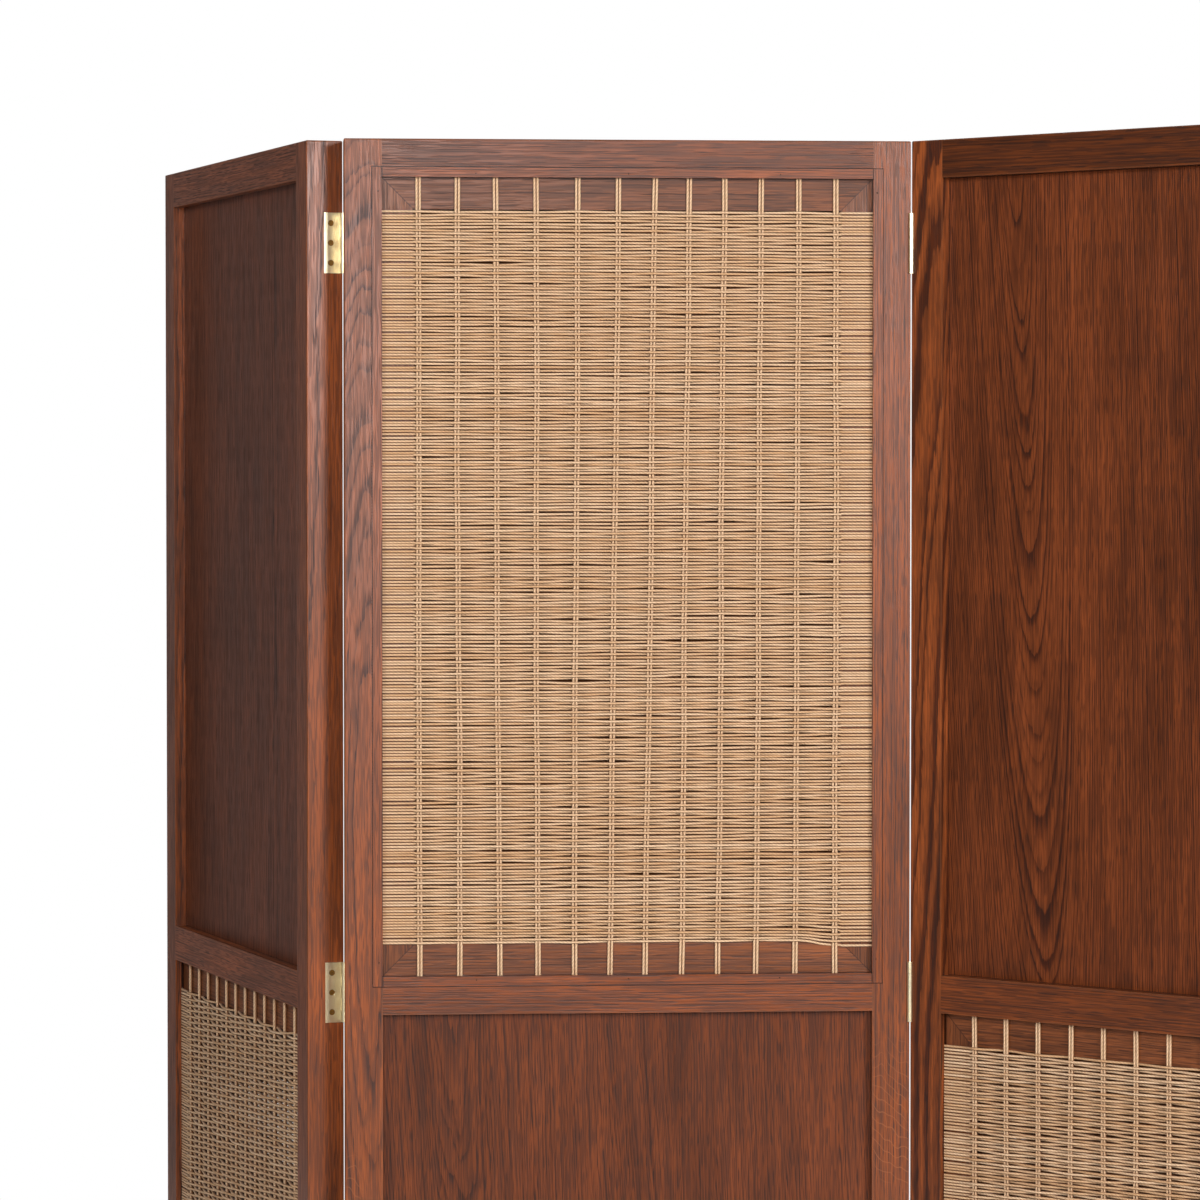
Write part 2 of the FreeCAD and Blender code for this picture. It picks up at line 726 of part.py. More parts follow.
def screw():
    """A countersunk wood screw with a cross recess: its head's face at zero, pointing down."""
    head = cone(
        "screw_shank_radius", "screw_head_radius", "screw_head_height", ("0", "0", "-screw_head_height"), UP
    )
    shank = rod(
        "screw_shank_radius",
        "screw_length - screw_tip_length - screw_head_height",
        ("0", "0", "screw_tip_length - screw_length"),
        UP,
    )
    tip = cone("screw_tip_radius", "screw_shank_radius", "screw_tip_length", ("0", "0", "-screw_length"), UP)
    arm = about("screw_slot_width / 2")
    span = about("screw_slot_length / 2")
    down = ("-screw_slot_depth", "0")
    return carve(join([head, shank, tip]), join([block(arm, span, down), block(span, arm, down)]))


def hinge_points():
    """The three hinges of a fold, up its axis."""
    return [("0", "0", level) for level in HINGE_LEVELS]


def screw_points(sign):
    """The screws in the plates on one side of a fold's axis."""
    return [
        (f"{sign} * (leaf_gap / 2 + screw_set)", SCREW_LINE, f"{level} + {step} * screw_spacing")
        for level in HINGE_LEVELS
        for step in screw_steps()
    ]


def build_hinges():
    """Three butt hinges for each fold.  In a fold's frame the middle leaf is on the high side of X."""
    middle_plate = hinge_plate(1, range(0, KNUCKLES, 2))
    side_plate = hinge_plate(-1, range(1, KNUCKLES, 2))
    pin = rod("hinge_pin_radius", "hinge_length", ("0", "0", "-hinge_length / 2"), UP)
    pin_master = group([pin])
    screw_master = screw()
    for name, side in LEAVES.items():
        if side == 0:
            continue
        facing = FreeCAD.Rotation(UP, 0 if side < 0 else 180)
        still = FreeCAD.Placement(pin_point(side), facing)
        folded = fold(side) * still
        name_node(copies(middle_plate, hinge_points()), f"{name}_hinge_plates_on_middle", still)
        name_node(copies(side_plate, hinge_points()), f"{name}_hinge_plates_on_{name}", folded)
        name_node(copies(pin_master, hinge_points()), f"{name}_hinge_pins", still)
        into_middle = FreeCAD.Rotation(THROUGH, -90)
        into_side = FreeCAD.Rotation(THROUGH, 90)
        name_node(copies(screw_master, screw_points(1), into_middle), f"{name}_hinge_screws_on_middle", still)
        name_node(copies(screw_master, screw_points(-1), into_side), f"{name}_hinge_screws_on_{name}", folded)


def centre_on_origin():
    """Move the whole screen so that its box stands centred on the origin."""
    box = FreeCAD.BoundBox()
    for item in nodes:
        box.add(item.Shape.optimalBoundingBox(False, False))
    shift = FreeCAD.Placement(FreeCAD.Vector(-box.Center.x, -box.Center.y, 0), FreeCAD.Rotation())
    for item in nodes:
        item.Placement = shift * item.Placement
    return shift


def check_document():
    """Stop if an object has failed or a sub-part has no sound shape."""
    for item in doc.Objects:
        if "Invalid" in item.State or "Error" in item.State:
            raise RuntimeError(f"{item.Label} failed: {item.State}")
    for item in nodes:
        if item.Shape.isNull() or not item.Shape.isValid() or not item.Shape.Solids:
            raise RuntimeError(f"{item.Label} has no sound shape")


def write_parts(folder):
    """Write each sub-part to a file with its own name."""
    os.makedirs(folder, exist_ok=True)
    for item in nodes:
        item.Shape.exportStep(os.path.join(folder, f"{item.Label}.step"))


def main():
    for name, side in LEAVES.items():
        build_leaf(name, side)
    build_hinges()
    doc.recompute()
    shift = centre_on_origin()
    doc.recompute()
    check_document()
    write_parts("parts")
    for name, side in LEAVES.items():
        point = shift.multVec(pin_point(side))
        print(f"{name}: fold axis at {point.x:.3f}, {point.y:.3f}")
    print(f"{len(nodes)} sub-parts, {sum(len(item.Shape.Solids) for item in nodes)} solids")


main()
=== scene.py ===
"""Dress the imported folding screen: stained oak, woven cord and brass, seen as photographed."""

import json
import logging
import math
from dataclasses import dataclass
from enum import Enum

import bpy
import numpy as np
from mathutils import Matrix, Vector

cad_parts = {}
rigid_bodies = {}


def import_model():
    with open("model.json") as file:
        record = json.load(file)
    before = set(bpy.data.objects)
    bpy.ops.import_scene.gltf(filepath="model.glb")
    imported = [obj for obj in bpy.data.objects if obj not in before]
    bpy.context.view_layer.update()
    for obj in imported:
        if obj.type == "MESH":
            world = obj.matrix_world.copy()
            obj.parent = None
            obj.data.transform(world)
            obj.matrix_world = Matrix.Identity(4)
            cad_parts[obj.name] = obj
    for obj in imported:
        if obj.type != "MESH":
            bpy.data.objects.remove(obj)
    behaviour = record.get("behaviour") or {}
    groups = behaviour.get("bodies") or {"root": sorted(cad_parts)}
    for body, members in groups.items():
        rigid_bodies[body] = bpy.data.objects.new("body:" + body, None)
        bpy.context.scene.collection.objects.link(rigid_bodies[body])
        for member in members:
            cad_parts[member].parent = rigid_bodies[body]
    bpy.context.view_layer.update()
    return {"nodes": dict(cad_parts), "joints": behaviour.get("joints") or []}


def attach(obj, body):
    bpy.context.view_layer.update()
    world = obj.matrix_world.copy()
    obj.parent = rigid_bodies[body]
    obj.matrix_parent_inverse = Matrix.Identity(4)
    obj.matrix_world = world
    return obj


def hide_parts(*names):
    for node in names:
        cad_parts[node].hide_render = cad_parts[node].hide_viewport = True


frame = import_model()

log = logging.getLogger("screen")
Array = np.ndarray
Socket = bpy.types.NodeSocket
Colour = tuple[float, float, float, float]
Triple = tuple[float, float, float]

# Sizes of a leaf, in metres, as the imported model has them.
LEAF_WIDTH = 0.600
LEAF_HEIGHT = 1.810
LEAF_THICKNESS = 0.040
LEAF_GAP = 0.0003
GLIDE_HEIGHT = 0.004
HINGE_OFFSET = 0.0002
BAY_SIDE = 0.260
BEAD_WIDTH = 0.012
BEAD_CLEARANCE = 0.0002
HIDDEN_EDGE = 0.0075

# From one leaf's middle to the next when flat, and from a leaf's middle to its pins' depth.
LEAF_STEP = LEAF_WIDTH + LEAF_GAP
PIN_DEPTH = LEAF_THICKNESS / 2 + HINGE_OFFSET

# How far from an arris the stain is rubbed, how much, and the width of a dark joint or painted
# shade line.
RUBBED_WIDTH = 0.002
RUBBED_SHARE = 0.35
SEAM_AND_SHADE_WIDTH = 0.0010

WHITE: Colour = (1.0, 1.0, 1.0, 1.0)
ORIGIN = Vector((0.0, 0.0, 0.0))
UNSCALED: Triple = (1.0, 1.0, 1.0)
UNTURNED = Matrix.Identity(3)
LYING = Matrix.Rotation(math.radians(-90), 3, "Y")


def stain(red: int, green: int, blue: int) -> Colour:
    """A colour written as on a colour card, 0 to 255, turned into linear light.

    Args:
        red: Red, 0 to 255.
        green: Green, 0 to 255.
        blue: Blue, 0 to 255.

    Returns:
        The linear colour with full alpha.
    """
    card = np.array((red, green, blue)) / 255
    light = np.where(card <= 0.04045, card / 12.92, ((card + 0.055) / 1.055) ** 2.4)
    return (*light.tolist(), 1.0)


class Grain(Enum):
    """Which way a board's grain runs in its leaf."""

    UPRIGHT = "upright"
    ACROSS = "across"


class Seam(Enum):
    """A board's thin dark lines: its joints, and painted shade where it goes into a groove or under
    a bead.
    """

    NONE = "none"
    # The mitred boards also have a line of painted shade where they go under the beads.
    MITRE_AND_SHADE_LOW = "mitred ends, with the long edge on the low side"
    MITRE_AND_SHADE_HIGH = "mitred ends, with the long edge on the high side"
    # Painted shade: a dark line all round, along the gap where the panel goes into its groove.
    GROOVE_SHADE = "all round, where the edge goes into a groove"
    BEADS = "butted beads, with a line all round them"


class Face(Enum):
    """The two woven faces of a leaf, by the sign of the leaf's own Y."""

    BEAD = -1
    PLAIN = 1


@dataclass(frozen=True)
class Leaf:
    """One leaf's own frame: X across, Y through with the beads low, Z up to the woven bay.

    A side leaf is turned end over end, set beside the middle leaf and folded about its pins.
    """

    name: str
    side: int
    fold: float
    pin: tuple[float, float]

    def to_row(self, points: Array) -> Array:
        """Carry points from the leaf's own frame to the screen's.

        A side leaf's points are turned half a turn about X, moved aside, and turned about the
        pins by the fold: (x cos f + y sin f, y cos f - x sin f).

        Args:
            points: Points in the leaf's frame, coordinates last.

        Returns:
            The points in the screen's frame, in the same layout.
        """
        if self.side == 0:
            return points + np.array((*self.pin, 0.0))
        across = points[..., 0] + self.side * LEAF_STEP - self.side * LEAF_STEP / 2
        through = -points[..., 1] + self.side * PIN_DEPTH
        up = LEAF_HEIGHT + GLIDE_HEIGHT - points[..., 2]
        cosine, sine = math.cos(self.fold), math.sin(self.fold)
        return np.stack((
            self.pin[0] + across * cosine + through * sine,
            self.pin[1] - across * sine + through * cosine,
            up,
        ), axis=-1)

    def direction(self, vector: Triple) -> Array:
        """Carry a direction from the leaf's own frame to the screen's."""
        return self.to_row(np.array(vector)) - self.to_row(np.zeros(3))

    def unfolding(self) -> Matrix:
        """The turn that lays the leaf's face across the X axis again."""
        return Matrix.Rotation(self.fold, 3, "Z")


def leaves() -> list[Leaf]:
    """The three leaves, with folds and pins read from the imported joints.

    Returns:
        The left, middle and right leaf.
    """
    joints = {joint["name"]: joint for joint in frame["joints"]}
    folds = {side: joints[name] for side, name in ((-1, "left_fold"), (1, "right_fold"))}
    left, right = (
        Leaf(joint["child"], side, -math.radians(joint["range_deg"][0]), tuple(joint["pos_m"][:2]))
        for side, joint in folds.items()
    )
    middle_pin = (left.pin[0] + LEAF_STEP / 2, left.pin[1] - PIN_DEPTH)
    return [left, Leaf(folds[-1]["parent"], 0, 0.0, middle_pin), right]


class Graph:
    """A node tree under construction: each method adds nodes and gives their output."""

    def __init__(self, tree: bpy.types.NodeTree) -> None:
        """Empty the tree."""
        self.tree = tree
        self.tree.nodes.clear()

    def add(self, kind: str, inputs: dict[int | str, object], **settings: object) -> bpy.types.Node:
        """Add a node, set its properties, and link its inputs or set them to constants.

        Args:
            kind: Blender's name for the node, after the words ShaderNode.
            inputs: Outputs, numbers, vectors or colours, by the input's number or name.
            settings: The properties to set.

        Returns:
            The node.
        """
        node = self.tree.nodes.new(f"ShaderNode{kind}")
        for name, value in settings.items():
            setattr(node, name, value)
        for name, value in inputs.items():
            if isinstance(value, Socket):
                self.tree.links.new(value, node.inputs[name])
            else:
                node.inputs[name].default_value = value
        return node

    def math(self, operation: str, *terms: object, clamp: bool = False) -> Socket:
        """A sum.

        Args:
            operation: Blender's name for the sum.
            terms: One to three outputs or numbers.
            clamp: Whether to keep the result between 0 and 1.

        Returns:
            The result.
        """
        settings = {"operation": operation, "use_clamp": clamp}
        return self.add("Math", dict(enumerate(terms)), **settings).outputs[0]

    def spot(self) -> Socket:
        """The place in the object's coordinates."""
        return self.add("TexCoord", {}).outputs["Object"]

    def part(self, vector: Socket, axis: int) -> Socket:
        """One coordinate of a vector."""
        return self.add("SeparateXYZ", {0: vector}).outputs[axis]

    def mapped(
        self, vector: Socket, shift: Vector, scale: Triple = UNSCALED, turn: Matrix = UNTURNED
    ) -> Socket:
        """A vector scaled along each axis, turned and then shifted."""
        inputs = {"Vector": vector, "Location": shift, "Scale": scale, "Rotation": turn.to_euler()}
        return self.add("Mapping", inputs, vector_type="POINT").outputs[0]

    def noise(self, vector: Socket, scale: Triple, shift: Vector, detail: float) -> Socket:
        """Smooth noise between 0 and 1.

        Args:
            vector: The coordinates.
            scale: Features per unit along each axis.
            shift: What is added to the coordinates, to give each piece its own pattern.
            detail: Octaves of finer noise.

        Returns:
            The noise.
        """
        place = self.mapped(vector, shift, scale)
        inputs = {"Vector": place, "Scale": 1.0, "Detail": detail}
        return self.add("TexNoise", inputs, noise_dimensions="3D").outputs[0]

    def ramp(self, value: Socket, *stops: tuple[float, float]) -> Socket:
        """A curve of straight runs through stops.

        Args:
            value: What the curve is read at.
            stops: Pairs of position and height, both 0 to 1, in order.

        Returns:
            The height at the value.
        """
        node = self.add("ValToRGB", {0: value})
        elements = node.color_ramp.elements
        while len(elements) < len(stops):
            elements.new(0.5)
        for element, (position, height) in zip(elements, stops):
            element.position = position
            element.color = (height, height, height, 1.0)
        return node.outputs[0]

    def blend(self, factor: object, first: object, second: object, mode: str = "MIX") -> Socket:
        """Two colours mixed.

        Args:
            factor: How much of the second, 0 to 1.
            first: The colour under.
            second: The colour over.
            mode: Blender's name for the way of mixing.

        Returns:
            The mixed colour.
        """
        inputs = {0: factor, 6: first, 7: second}
        settings = {"data_type": "RGBA", "blend_type": mode, "clamp_result": False}
        return self.add("Mix", inputs, **settings).outputs[2]

    def choose(self, factor: Socket, first: Socket, second: Socket) -> Socket:
        """One of two vectors: the first at factor 0 and the second at factor 1."""
        inputs = {0: factor, 4: first, 5: second}
        return self.add("Mix", inputs, data_type="VECTOR").outputs[1]

    def bump(self, height: Socket, strength: float, depth: float) -> Socket:
        """A normal tilted by a height whose 1 is so many metres deep."""
        inputs = {"Height": height, "Strength": strength, "Distance": depth}
        return self.add("Bump", inputs).outputs[0]

    def surface(self, **sockets: object) -> None:
        """Close the tree with a shader.

        Args:
            sockets: The shader's inputs, with underscores for spaces.
        """
        inputs = {name.replace("_", " "): value for name, value in sockets.items()}
        shader = self.add("BsdfPrincipled", inputs)
        self.add("OutputMaterial", {0: shader.outputs[0]})


def new_material(name: str) -> tuple[bpy.types.Material, Graph]:
    """An empty material and the graph of its nodes.

    Args:
        name: The material's name.

    Returns:
        The material and its graph.
    """
    material = bpy.data.materials.new(name)
    material.use_nodes = True
    return material, Graph(material.node_tree)


@dataclass(frozen=True)
class OakCut:
    """How a board was sawn: where the log's pith lies behind its face, and how close its rings are.

    The rings are circles round the pith.  A pith far to one side gives straight lines.  A pith
    close behind the face gives arches where it leans, and ovals where it bows.
    """

    pith_across: float = 0.30
    pith_behind: float = 0.02
    lean: float = 0.004
    bow: float = 0.0
    bow_centre: float = 0.0
    ring: float = 0.0030
    waver: float = 0.004
    contrast: float = 0.75
    tone: float = 1.0
    rays: float = 0.0


@dataclass(frozen=True)
class OakFinish:
    """Ring-porous oak under a brown stain and a satin lacquer."""

    light: Colour
    dark: Colour
    pore: Colour
    worn: Colour
    specular: float


FRAME_OAK = OakFinish(
    light=stain(147, 75, 34), dark=stain(82, 36, 14), pore=stain(42, 17, 7),
    worn=stain(158, 92, 52), specular=0.45,
)
PANEL_OAK = OakFinish(
    light=stain(124, 62, 30), dark=stain(68, 29, 13), pore=stain(38, 16, 8),
    worn=stain(134, 76, 44), specular=0.28,
)
INNER_OAK = OakFinish(
    light=stain(130, 74, 42), dark=stain(92, 47, 26), pore=stain(54, 26, 14),
    worn=stain(142, 86, 54), specular=0.35,
)


@dataclass
class OakBoard:
    """One board's material in the making.

    The place is across, through and along the grain, in metres from the board's middle.  Half is
    half the board's size on those axes, and the shift makes its noise its own.
    """

    oak: OakFinish
    cut: OakCut
    seam: Seam
    graph: Graph
    place: Socket
    half: Array
    shift: Vector

    def rings(self, place: Socket) -> Socket:
        """The growth rings: 1 at the open pores that start a ring, 0 in its dense wood.

        The distance to the pith is the root of the squares of the places across and through, each
        counted from the pith's line, which leans and bows along the board.  Noise makes it waver,
        and its remainder over the ring's width is the place in the ring.  Noise along the distance
        alone makes some years wide and some narrow, some dark and some faint.

        Args:
            place: The place in the grain.

        Returns:
            The rings, 0 to 1.
        """
        graph, cut = self.graph, self.cut
        along = graph.part(place, 2)
        from_bow = graph.math("SUBTRACT", along, cut.bow_centre)
        bowed = graph.math("MULTIPLY", graph.math("MULTIPLY", from_bow, from_bow), cut.bow)
        behind = graph.math("MULTIPLY_ADD", along, cut.lean, cut.pith_behind)
        behind = graph.math("ADD", behind, bowed)
        through = graph.math("SUBTRACT", graph.part(place, 1), behind)
        sideways = graph.math("MULTIPLY_ADD", along, cut.lean, cut.pith_across)
        across = graph.math("SUBTRACT", graph.part(place, 0), sideways)
        square = graph.math("MULTIPLY", through, through)
        reach = graph.math("SQRT", graph.math("MULTIPLY_ADD", across, across, square))
        for scale, detail, size in (
            ((14, 14, 2.2), 1.0, cut.waver * 2),
            ((70, 70, 11), 2.0, cut.waver * 0.6),
            ((420, 420, 55), 1.0, cut.ring * 0.25),
        ):
            wave = graph.math("SUBTRACT", graph.noise(place, scale, self.shift, detail), 0.5)
            reach = graph.math("MULTIPLY_ADD", wave, size, reach)
        count = graph.math("DIVIDE", reach, cut.ring)
        slowed = graph.math("MULTIPLY", count, 0.45)
        years = graph.add("CombineXYZ", {0: slowed, 1: self.shift.x}).outputs[0]
        weather = graph.noise(years, UNSCALED, ORIGIN, 2.0)
        count = graph.math("MULTIPLY_ADD", weather, 2.6, count)
        ring = graph.ramp(
            graph.math("FRACT", count),
            (0.0, 0.20), (0.05, 1.0), (0.18, 0.80), (0.34, 0.28), (0.75, 0.0), (1.0, 0.20),
        )
        growth = graph.noise(years, (1.9, 1.0, 1.0), self.shift, 1.0)
        return graph.math("MULTIPLY", ring, graph.ramp(growth, (0.30, 0.15), (0.56, 1.0)))

    def pores(self, place: Socket, rings: Socket) -> Socket:
        """Short pores along the grain, fewer in the rings' dense wood.

        Args:
            place: The place in the grain.
            rings: The growth rings.

        Returns:
            1 in a pore, 0 beside it.
        """
        graph = self.graph
        streaks = graph.noise(place, (430, 430, 14), self.shift, 1.0)
        streaks = graph.ramp(streaks, (0.47, 0.0), (0.61, 1.0))
        dashes = graph.noise(place, (900, 900, 44), self.shift, 0.0)
        dashes = graph.ramp(dashes, (0.50, 0.0), (0.61, 1.0))
        pores = graph.math("MAXIMUM", graph.math("MULTIPLY", streaks, 0.85), dashes)
        return graph.math("MULTIPLY", pores, graph.math("MULTIPLY_ADD", rings, 0.5, 0.5))

    def rays(self, place: Socket) -> Socket:
        """Pale rays that cross the lower half of a quarter-sawn board.

        A thin line shows wherever a slanting sum of the places along and across, bent by noise,
        comes to a whole number, and other noise leaves the lines in patches.

        Args:
            place: The place in the grain.

        Returns:
            1 on a ray, 0 beside it.
        """
        graph = self.graph
        along, across = graph.part(place, 2), graph.part(place, 0)
        bent = graph.noise(place, (55, 55, 16), self.shift, 1.0)
        slant = graph.math("MULTIPLY_ADD", along, 85.0, graph.math("MULTIPLY", across, 62.0))
        slant = graph.math("MULTIPLY_ADD", bent, 3.0, slant)
        line = graph.ramp(graph.math("FRACT", slant), (0.0, 0.0), (0.06, 1.0), (0.15, 0.0))
        patch = graph.noise(place, (26, 26, 8), self.shift, 1.0)
        patch = graph.ramp(patch, (0.42, 0.0), (0.56, 1.0))
        low = graph.ramp(graph.math("MULTIPLY", along, -1.0), (0.02, 0.0), (0.12, 1.0))
        return graph.math("MULTIPLY", line, graph.math("MULTIPLY", patch, low))

    def depth(self, axis: int) -> Socket:
        """How far a point is from the nearer of the board's two faces on an axis."""
        away = self.graph.math("ABSOLUTE", self.graph.part(self.place, axis))
        return self.graph.math("SUBTRACT", float(self.half[axis]), away)

    def near(self, distance: Socket, width: float) -> Socket:
        """1 where a distance is 0, falling to 0 at a width."""
        share = self.graph.math("DIVIDE", distance, width)
        return self.graph.math("SUBTRACT", 1.0, share, clamp=True)

    def arris(self) -> Socket:
        """1 on an arris, where the middle one of the three distances to the faces is 0."""
        graph = self.graph
        gaps = [self.depth(axis) for axis in range(3)]
        lesser = graph.math("MINIMUM", gaps[0], gaps[1])
        greater = graph.math("MAXIMUM", gaps[0], gaps[1])
        middle = graph.math("MAXIMUM", lesser, graph.math("MINIMUM", greater, gaps[2]))
        return self.near(middle, RUBBED_WIDTH)

    def joint(self) -> object:
        """Where a joint line or a line of painted shade shows on the board.

        A mitre lies where the distances to the end and to the long edge are the same.  The beads'
        lines lie along their outer edges and where the level beads butt against the upright ones.
        What lies in a groove or under a bead has a line of painted shade where it comes out.

        Returns:
            1 in the line, falling to 0 beside it.
        """
        if self.seam is Seam.NONE:
            return 0.0
        graph = self.graph
        across = graph.part(self.place, 0)
        side, end = self.depth(0), self.depth(2)
        if self.seam is Seam.BEADS:
            far = graph.math("ABSOLUTE", across)
            butted = graph.math("SUBTRACT", far, BAY_SIDE - BEAD_CLEARANCE)
            upright = graph.math("SUBTRACT", 1.0, graph.math("LESS_THAN", end, BEAD_WIDTH))
            butted = graph.math("ADD", upright, graph.math("ABSOLUTE", butted))
            line = graph.math("MINIMUM", graph.math("MINIMUM", end, side), butted)
        elif self.seam is Seam.GROOVE_SHADE:
            # Painted shade, along the gap where the panel goes into its groove.
            line = graph.math("SUBTRACT", graph.math("MINIMUM", end, side), HIDDEN_EDGE)
        else:
            sign = 1.0 if self.seam is Seam.MITRE_AND_SHADE_LOW else -1.0
            edge = graph.math("MULTIPLY_ADD", across, sign, float(self.half[0]))
            line = graph.math("ABSOLUTE", graph.math("SUBTRACT", end, edge))
            # Painted shade, where the inner frame goes under the beads.
            line = graph.math("MINIMUM", line, graph.math("SUBTRACT", edge, HIDDEN_EDGE))
        return self.near(line, SEAM_AND_SHADE_WIDTH)

    def paint(self) -> None:
        """Colour, gloss and relief of the board.

        Rings darken the wood, pores are darker still, noise drifts the tone, the arrises are
        rubbed a little paler, joints are dark, and painted shade darkens where a board goes into a
        groove or under a bead.  The level beads' grain runs across.
        """
        graph, oak, cut, place, rubbed = self.graph, self.oak, self.cut, self.place, RUBBED_SHARE
        if self.seam is Seam.BEADS:
            far = graph.math("ABSOLUTE", graph.part(place, 0))
            between = graph.math("LESS_THAN", far, BAY_SIDE)
            place = graph.choose(between, place, graph.mapped(place, ORIGIN, turn=LYING))
            rubbed = 0.0
        rings = self.rings(place)
        pores = self.pores(place, rings)
        slow = graph.noise(place, (9, 9, 1.3), self.shift, 2.0)
        middling = graph.noise(place, (46, 46, 7), self.shift, 2.0)
        tone = graph.math("MULTIPLY_ADD", middling, 1.15, 0.02)
        tone = graph.math("MULTIPLY_ADD", slow, 0.90, tone)
        open_wood = graph.math("MULTIPLY", rings, cut.contrast, clamp=True)
        wood = graph.blend(open_wood, oak.light, oak.dark)
        wood = graph.blend(graph.math("MULTIPLY", pores, 0.90), wood, oak.pore)
        wood = graph.blend(1.0, wood, graph.math("MULTIPLY", tone, cut.tone), "MULTIPLY")
        wood = graph.blend(graph.math("MULTIPLY", self.arris(), rubbed), wood, oak.worn)
        # Dark joints, and painted shade where a board goes into a groove or under a bead.
        wood = graph.blend(self.joint(), wood, oak.pore)
        if cut.rays:
            wood = graph.blend(graph.math("MULTIPLY", self.rays(place), cut.rays), wood, oak.worn)
        relief = graph.math("SUBTRACT", 1.0, graph.math("MULTIPLY_ADD", rings, 0.25, pores))
        graph.surface(
            Base_Color=wood,
            Roughness=graph.math("MULTIPLY_ADD", pores, 0.15, 0.31),
            Specular_IOR_Level=oak.specular,
            Normal=graph.bump(relief, 0.35, 0.00025),
        )


@dataclass(frozen=True)
class CordFinish:
    """Twisted paper cord in its natural straw colour."""

    pale: Colour = stain(249, 213, 174)
    straw: Colour = stain(226, 180, 134)
    # Colours of painted shade: in the ply grooves and between the rows, and inside the weave.
    shade: Colour = stain(136, 80, 38)
    inner_shade: Colour = stain(104, 58, 24)
    plies: int = 3
    lay: float = 0.013

    def dress(self, name: str) -> bpy.types.Material:
        """A material that follows the cord: its UV map is metres along it and turns round it.

        The plies are stripes that go round once in a lay.  The grooves between them are deeper,
        and darker with painted shade; slow noise along the cord and the row's own tone vary the
        colour.  Where a cord lies against its neighbours it is browner with painted shade, and the
        side that faces into the panel is dark with painted shade.

        Args:
            name: The material's name.

        Returns:
            The material.
        """
        material, graph = new_material(name)
        run = graph.add("UVMap", {}, uv_map="along").outputs[0]
        length, share = graph.part(run, 0), graph.part(run, 1)
        turns = graph.math("ADD", graph.math("DIVIDE", length, self.lay), share)
        phase = graph.math("FRACT", graph.math("MULTIPLY", turns, float(self.plies)))
        ply = graph.ramp(phase, (0.0, 0.0), (0.22, 0.75), (0.5, 1.0), (0.78, 0.75), (1.0, 0.0))
        row = graph.add("Attribute", {}, attribute_name="tone").outputs["Fac"]
        place = graph.spot()
        blotch = graph.noise(place, (45, 45, 160), Vector((3, 7, 1)), 2.0)
        fibre = graph.noise(place, (1400, 1400, 1400), Vector((5, 2, 9)), 2.0)
        drift = graph.math("SUBTRACT", blotch, 0.5)
        fade = graph.math("MULTIPLY_ADD", drift, 1.1, row, clamp=True)
        cord = graph.blend(fade, self.straw, self.pale)
        # Painted shade in the grooves between the plies.
        groove = graph.math("MULTIPLY", graph.math("SUBTRACT", 1.0, ply), 0.40)
        cord = graph.blend(groove, cord, self.shade)
        # Painted shade on the flanks, where a cord lies against its neighbours.
        angle = graph.math("MULTIPLY", share, math.tau)
        flank = graph.math("ABSOLUTE", graph.math("SINE", angle))
        cord = graph.blend(graph.ramp(flank, (0.62, 0.0), (0.98, 0.85)), cord, self.shade)
        # Painted shade on the side that faces into the panel.
        facing = graph.math("MULTIPLY_ADD", graph.math("COSINE", angle), 0.5, 0.5)
        cord = graph.blend(graph.ramp(facing, (0.20, 1.0), (0.45, 0.0)), cord, self.inner_shade)
        cord = graph.blend(0.35, cord, graph.ramp(fibre, (0.3, 0.72), (0.7, 1.0)), "MULTIPLY")
        relief = graph.math("MULTIPLY_ADD", fibre, 0.3, ply)
        graph.surface(
            Base_Color=cord,
            Roughness=graph.math("MULTIPLY_ADD", fibre, 0.2, 0.66),
            Specular_IOR_Level=0.25,
            Sheen_Weight=0.08,
            Sheen_Roughness=0.5,
            Normal=graph.bump(relief, 0.6, 0.0003),
        )
        return material


@dataclass(frozen=True)
class MetalFinish:
    """Rolled metal: fine lines along the sheet, slow tarnish, and a soft polish."""

    bright: Colour
    tarnish: Colour
    polish: float
    lines: Triple

    def dress(self, name: str) -> bpy.types.Material:
        """A material on the object's coordinates.

        Args:
            name: The material's name.

        Returns:
            The material.
        """
        material, graph = new_material(name)
        place = graph.spot()
        drawn = graph.noise(place, self.lines, Vector((1, 4, 2)), 3.0)
        slow = graph.noise(place, (90, 90, 60), Vector((8, 3, 6)), 3.0)
        speck = graph.noise(place, (700, 700, 700), Vector((2, 9, 4)), 2.0)
        stained = graph.ramp(slow, (0.42, 0.0), (0.72, 1.0))
        stained = graph.math("MULTIPLY", stained, graph.ramp(speck, (0.35, 0.35), (0.65, 1.0)))
        dulled = graph.math("ADD", drawn, stained)
        tarnished = graph.math("MULTIPLY", stained, 0.5)
        graph.surface(
            Base_Color=graph.blend(tarnished, self.bright, self.tarnish),
            Metallic=1.0,
            Roughness=graph.math("MULTIPLY_ADD", dulled, 0.10, self.polish),
            Normal=graph.bump(drawn, 0.05, 0.00002),
        )
        return material


BRASS = MetalFinish(stain(255, 240, 202), stain(230, 194, 130), 0.28, (2200, 2200, 70))
# The screw heads are darker brass than the plates: painted shade of the countersinks they sit in.
SCREW_BRASS_PAINTED_SHADE = MetalFinish(stain(150, 112, 58), stain(70, 48, 22), 0.38, (1200, 1200, 1200))
STEEL = MetalFinish(stain(58, 40, 30), stain(34, 24, 18), 0.55, (1500, 1500, 1500))


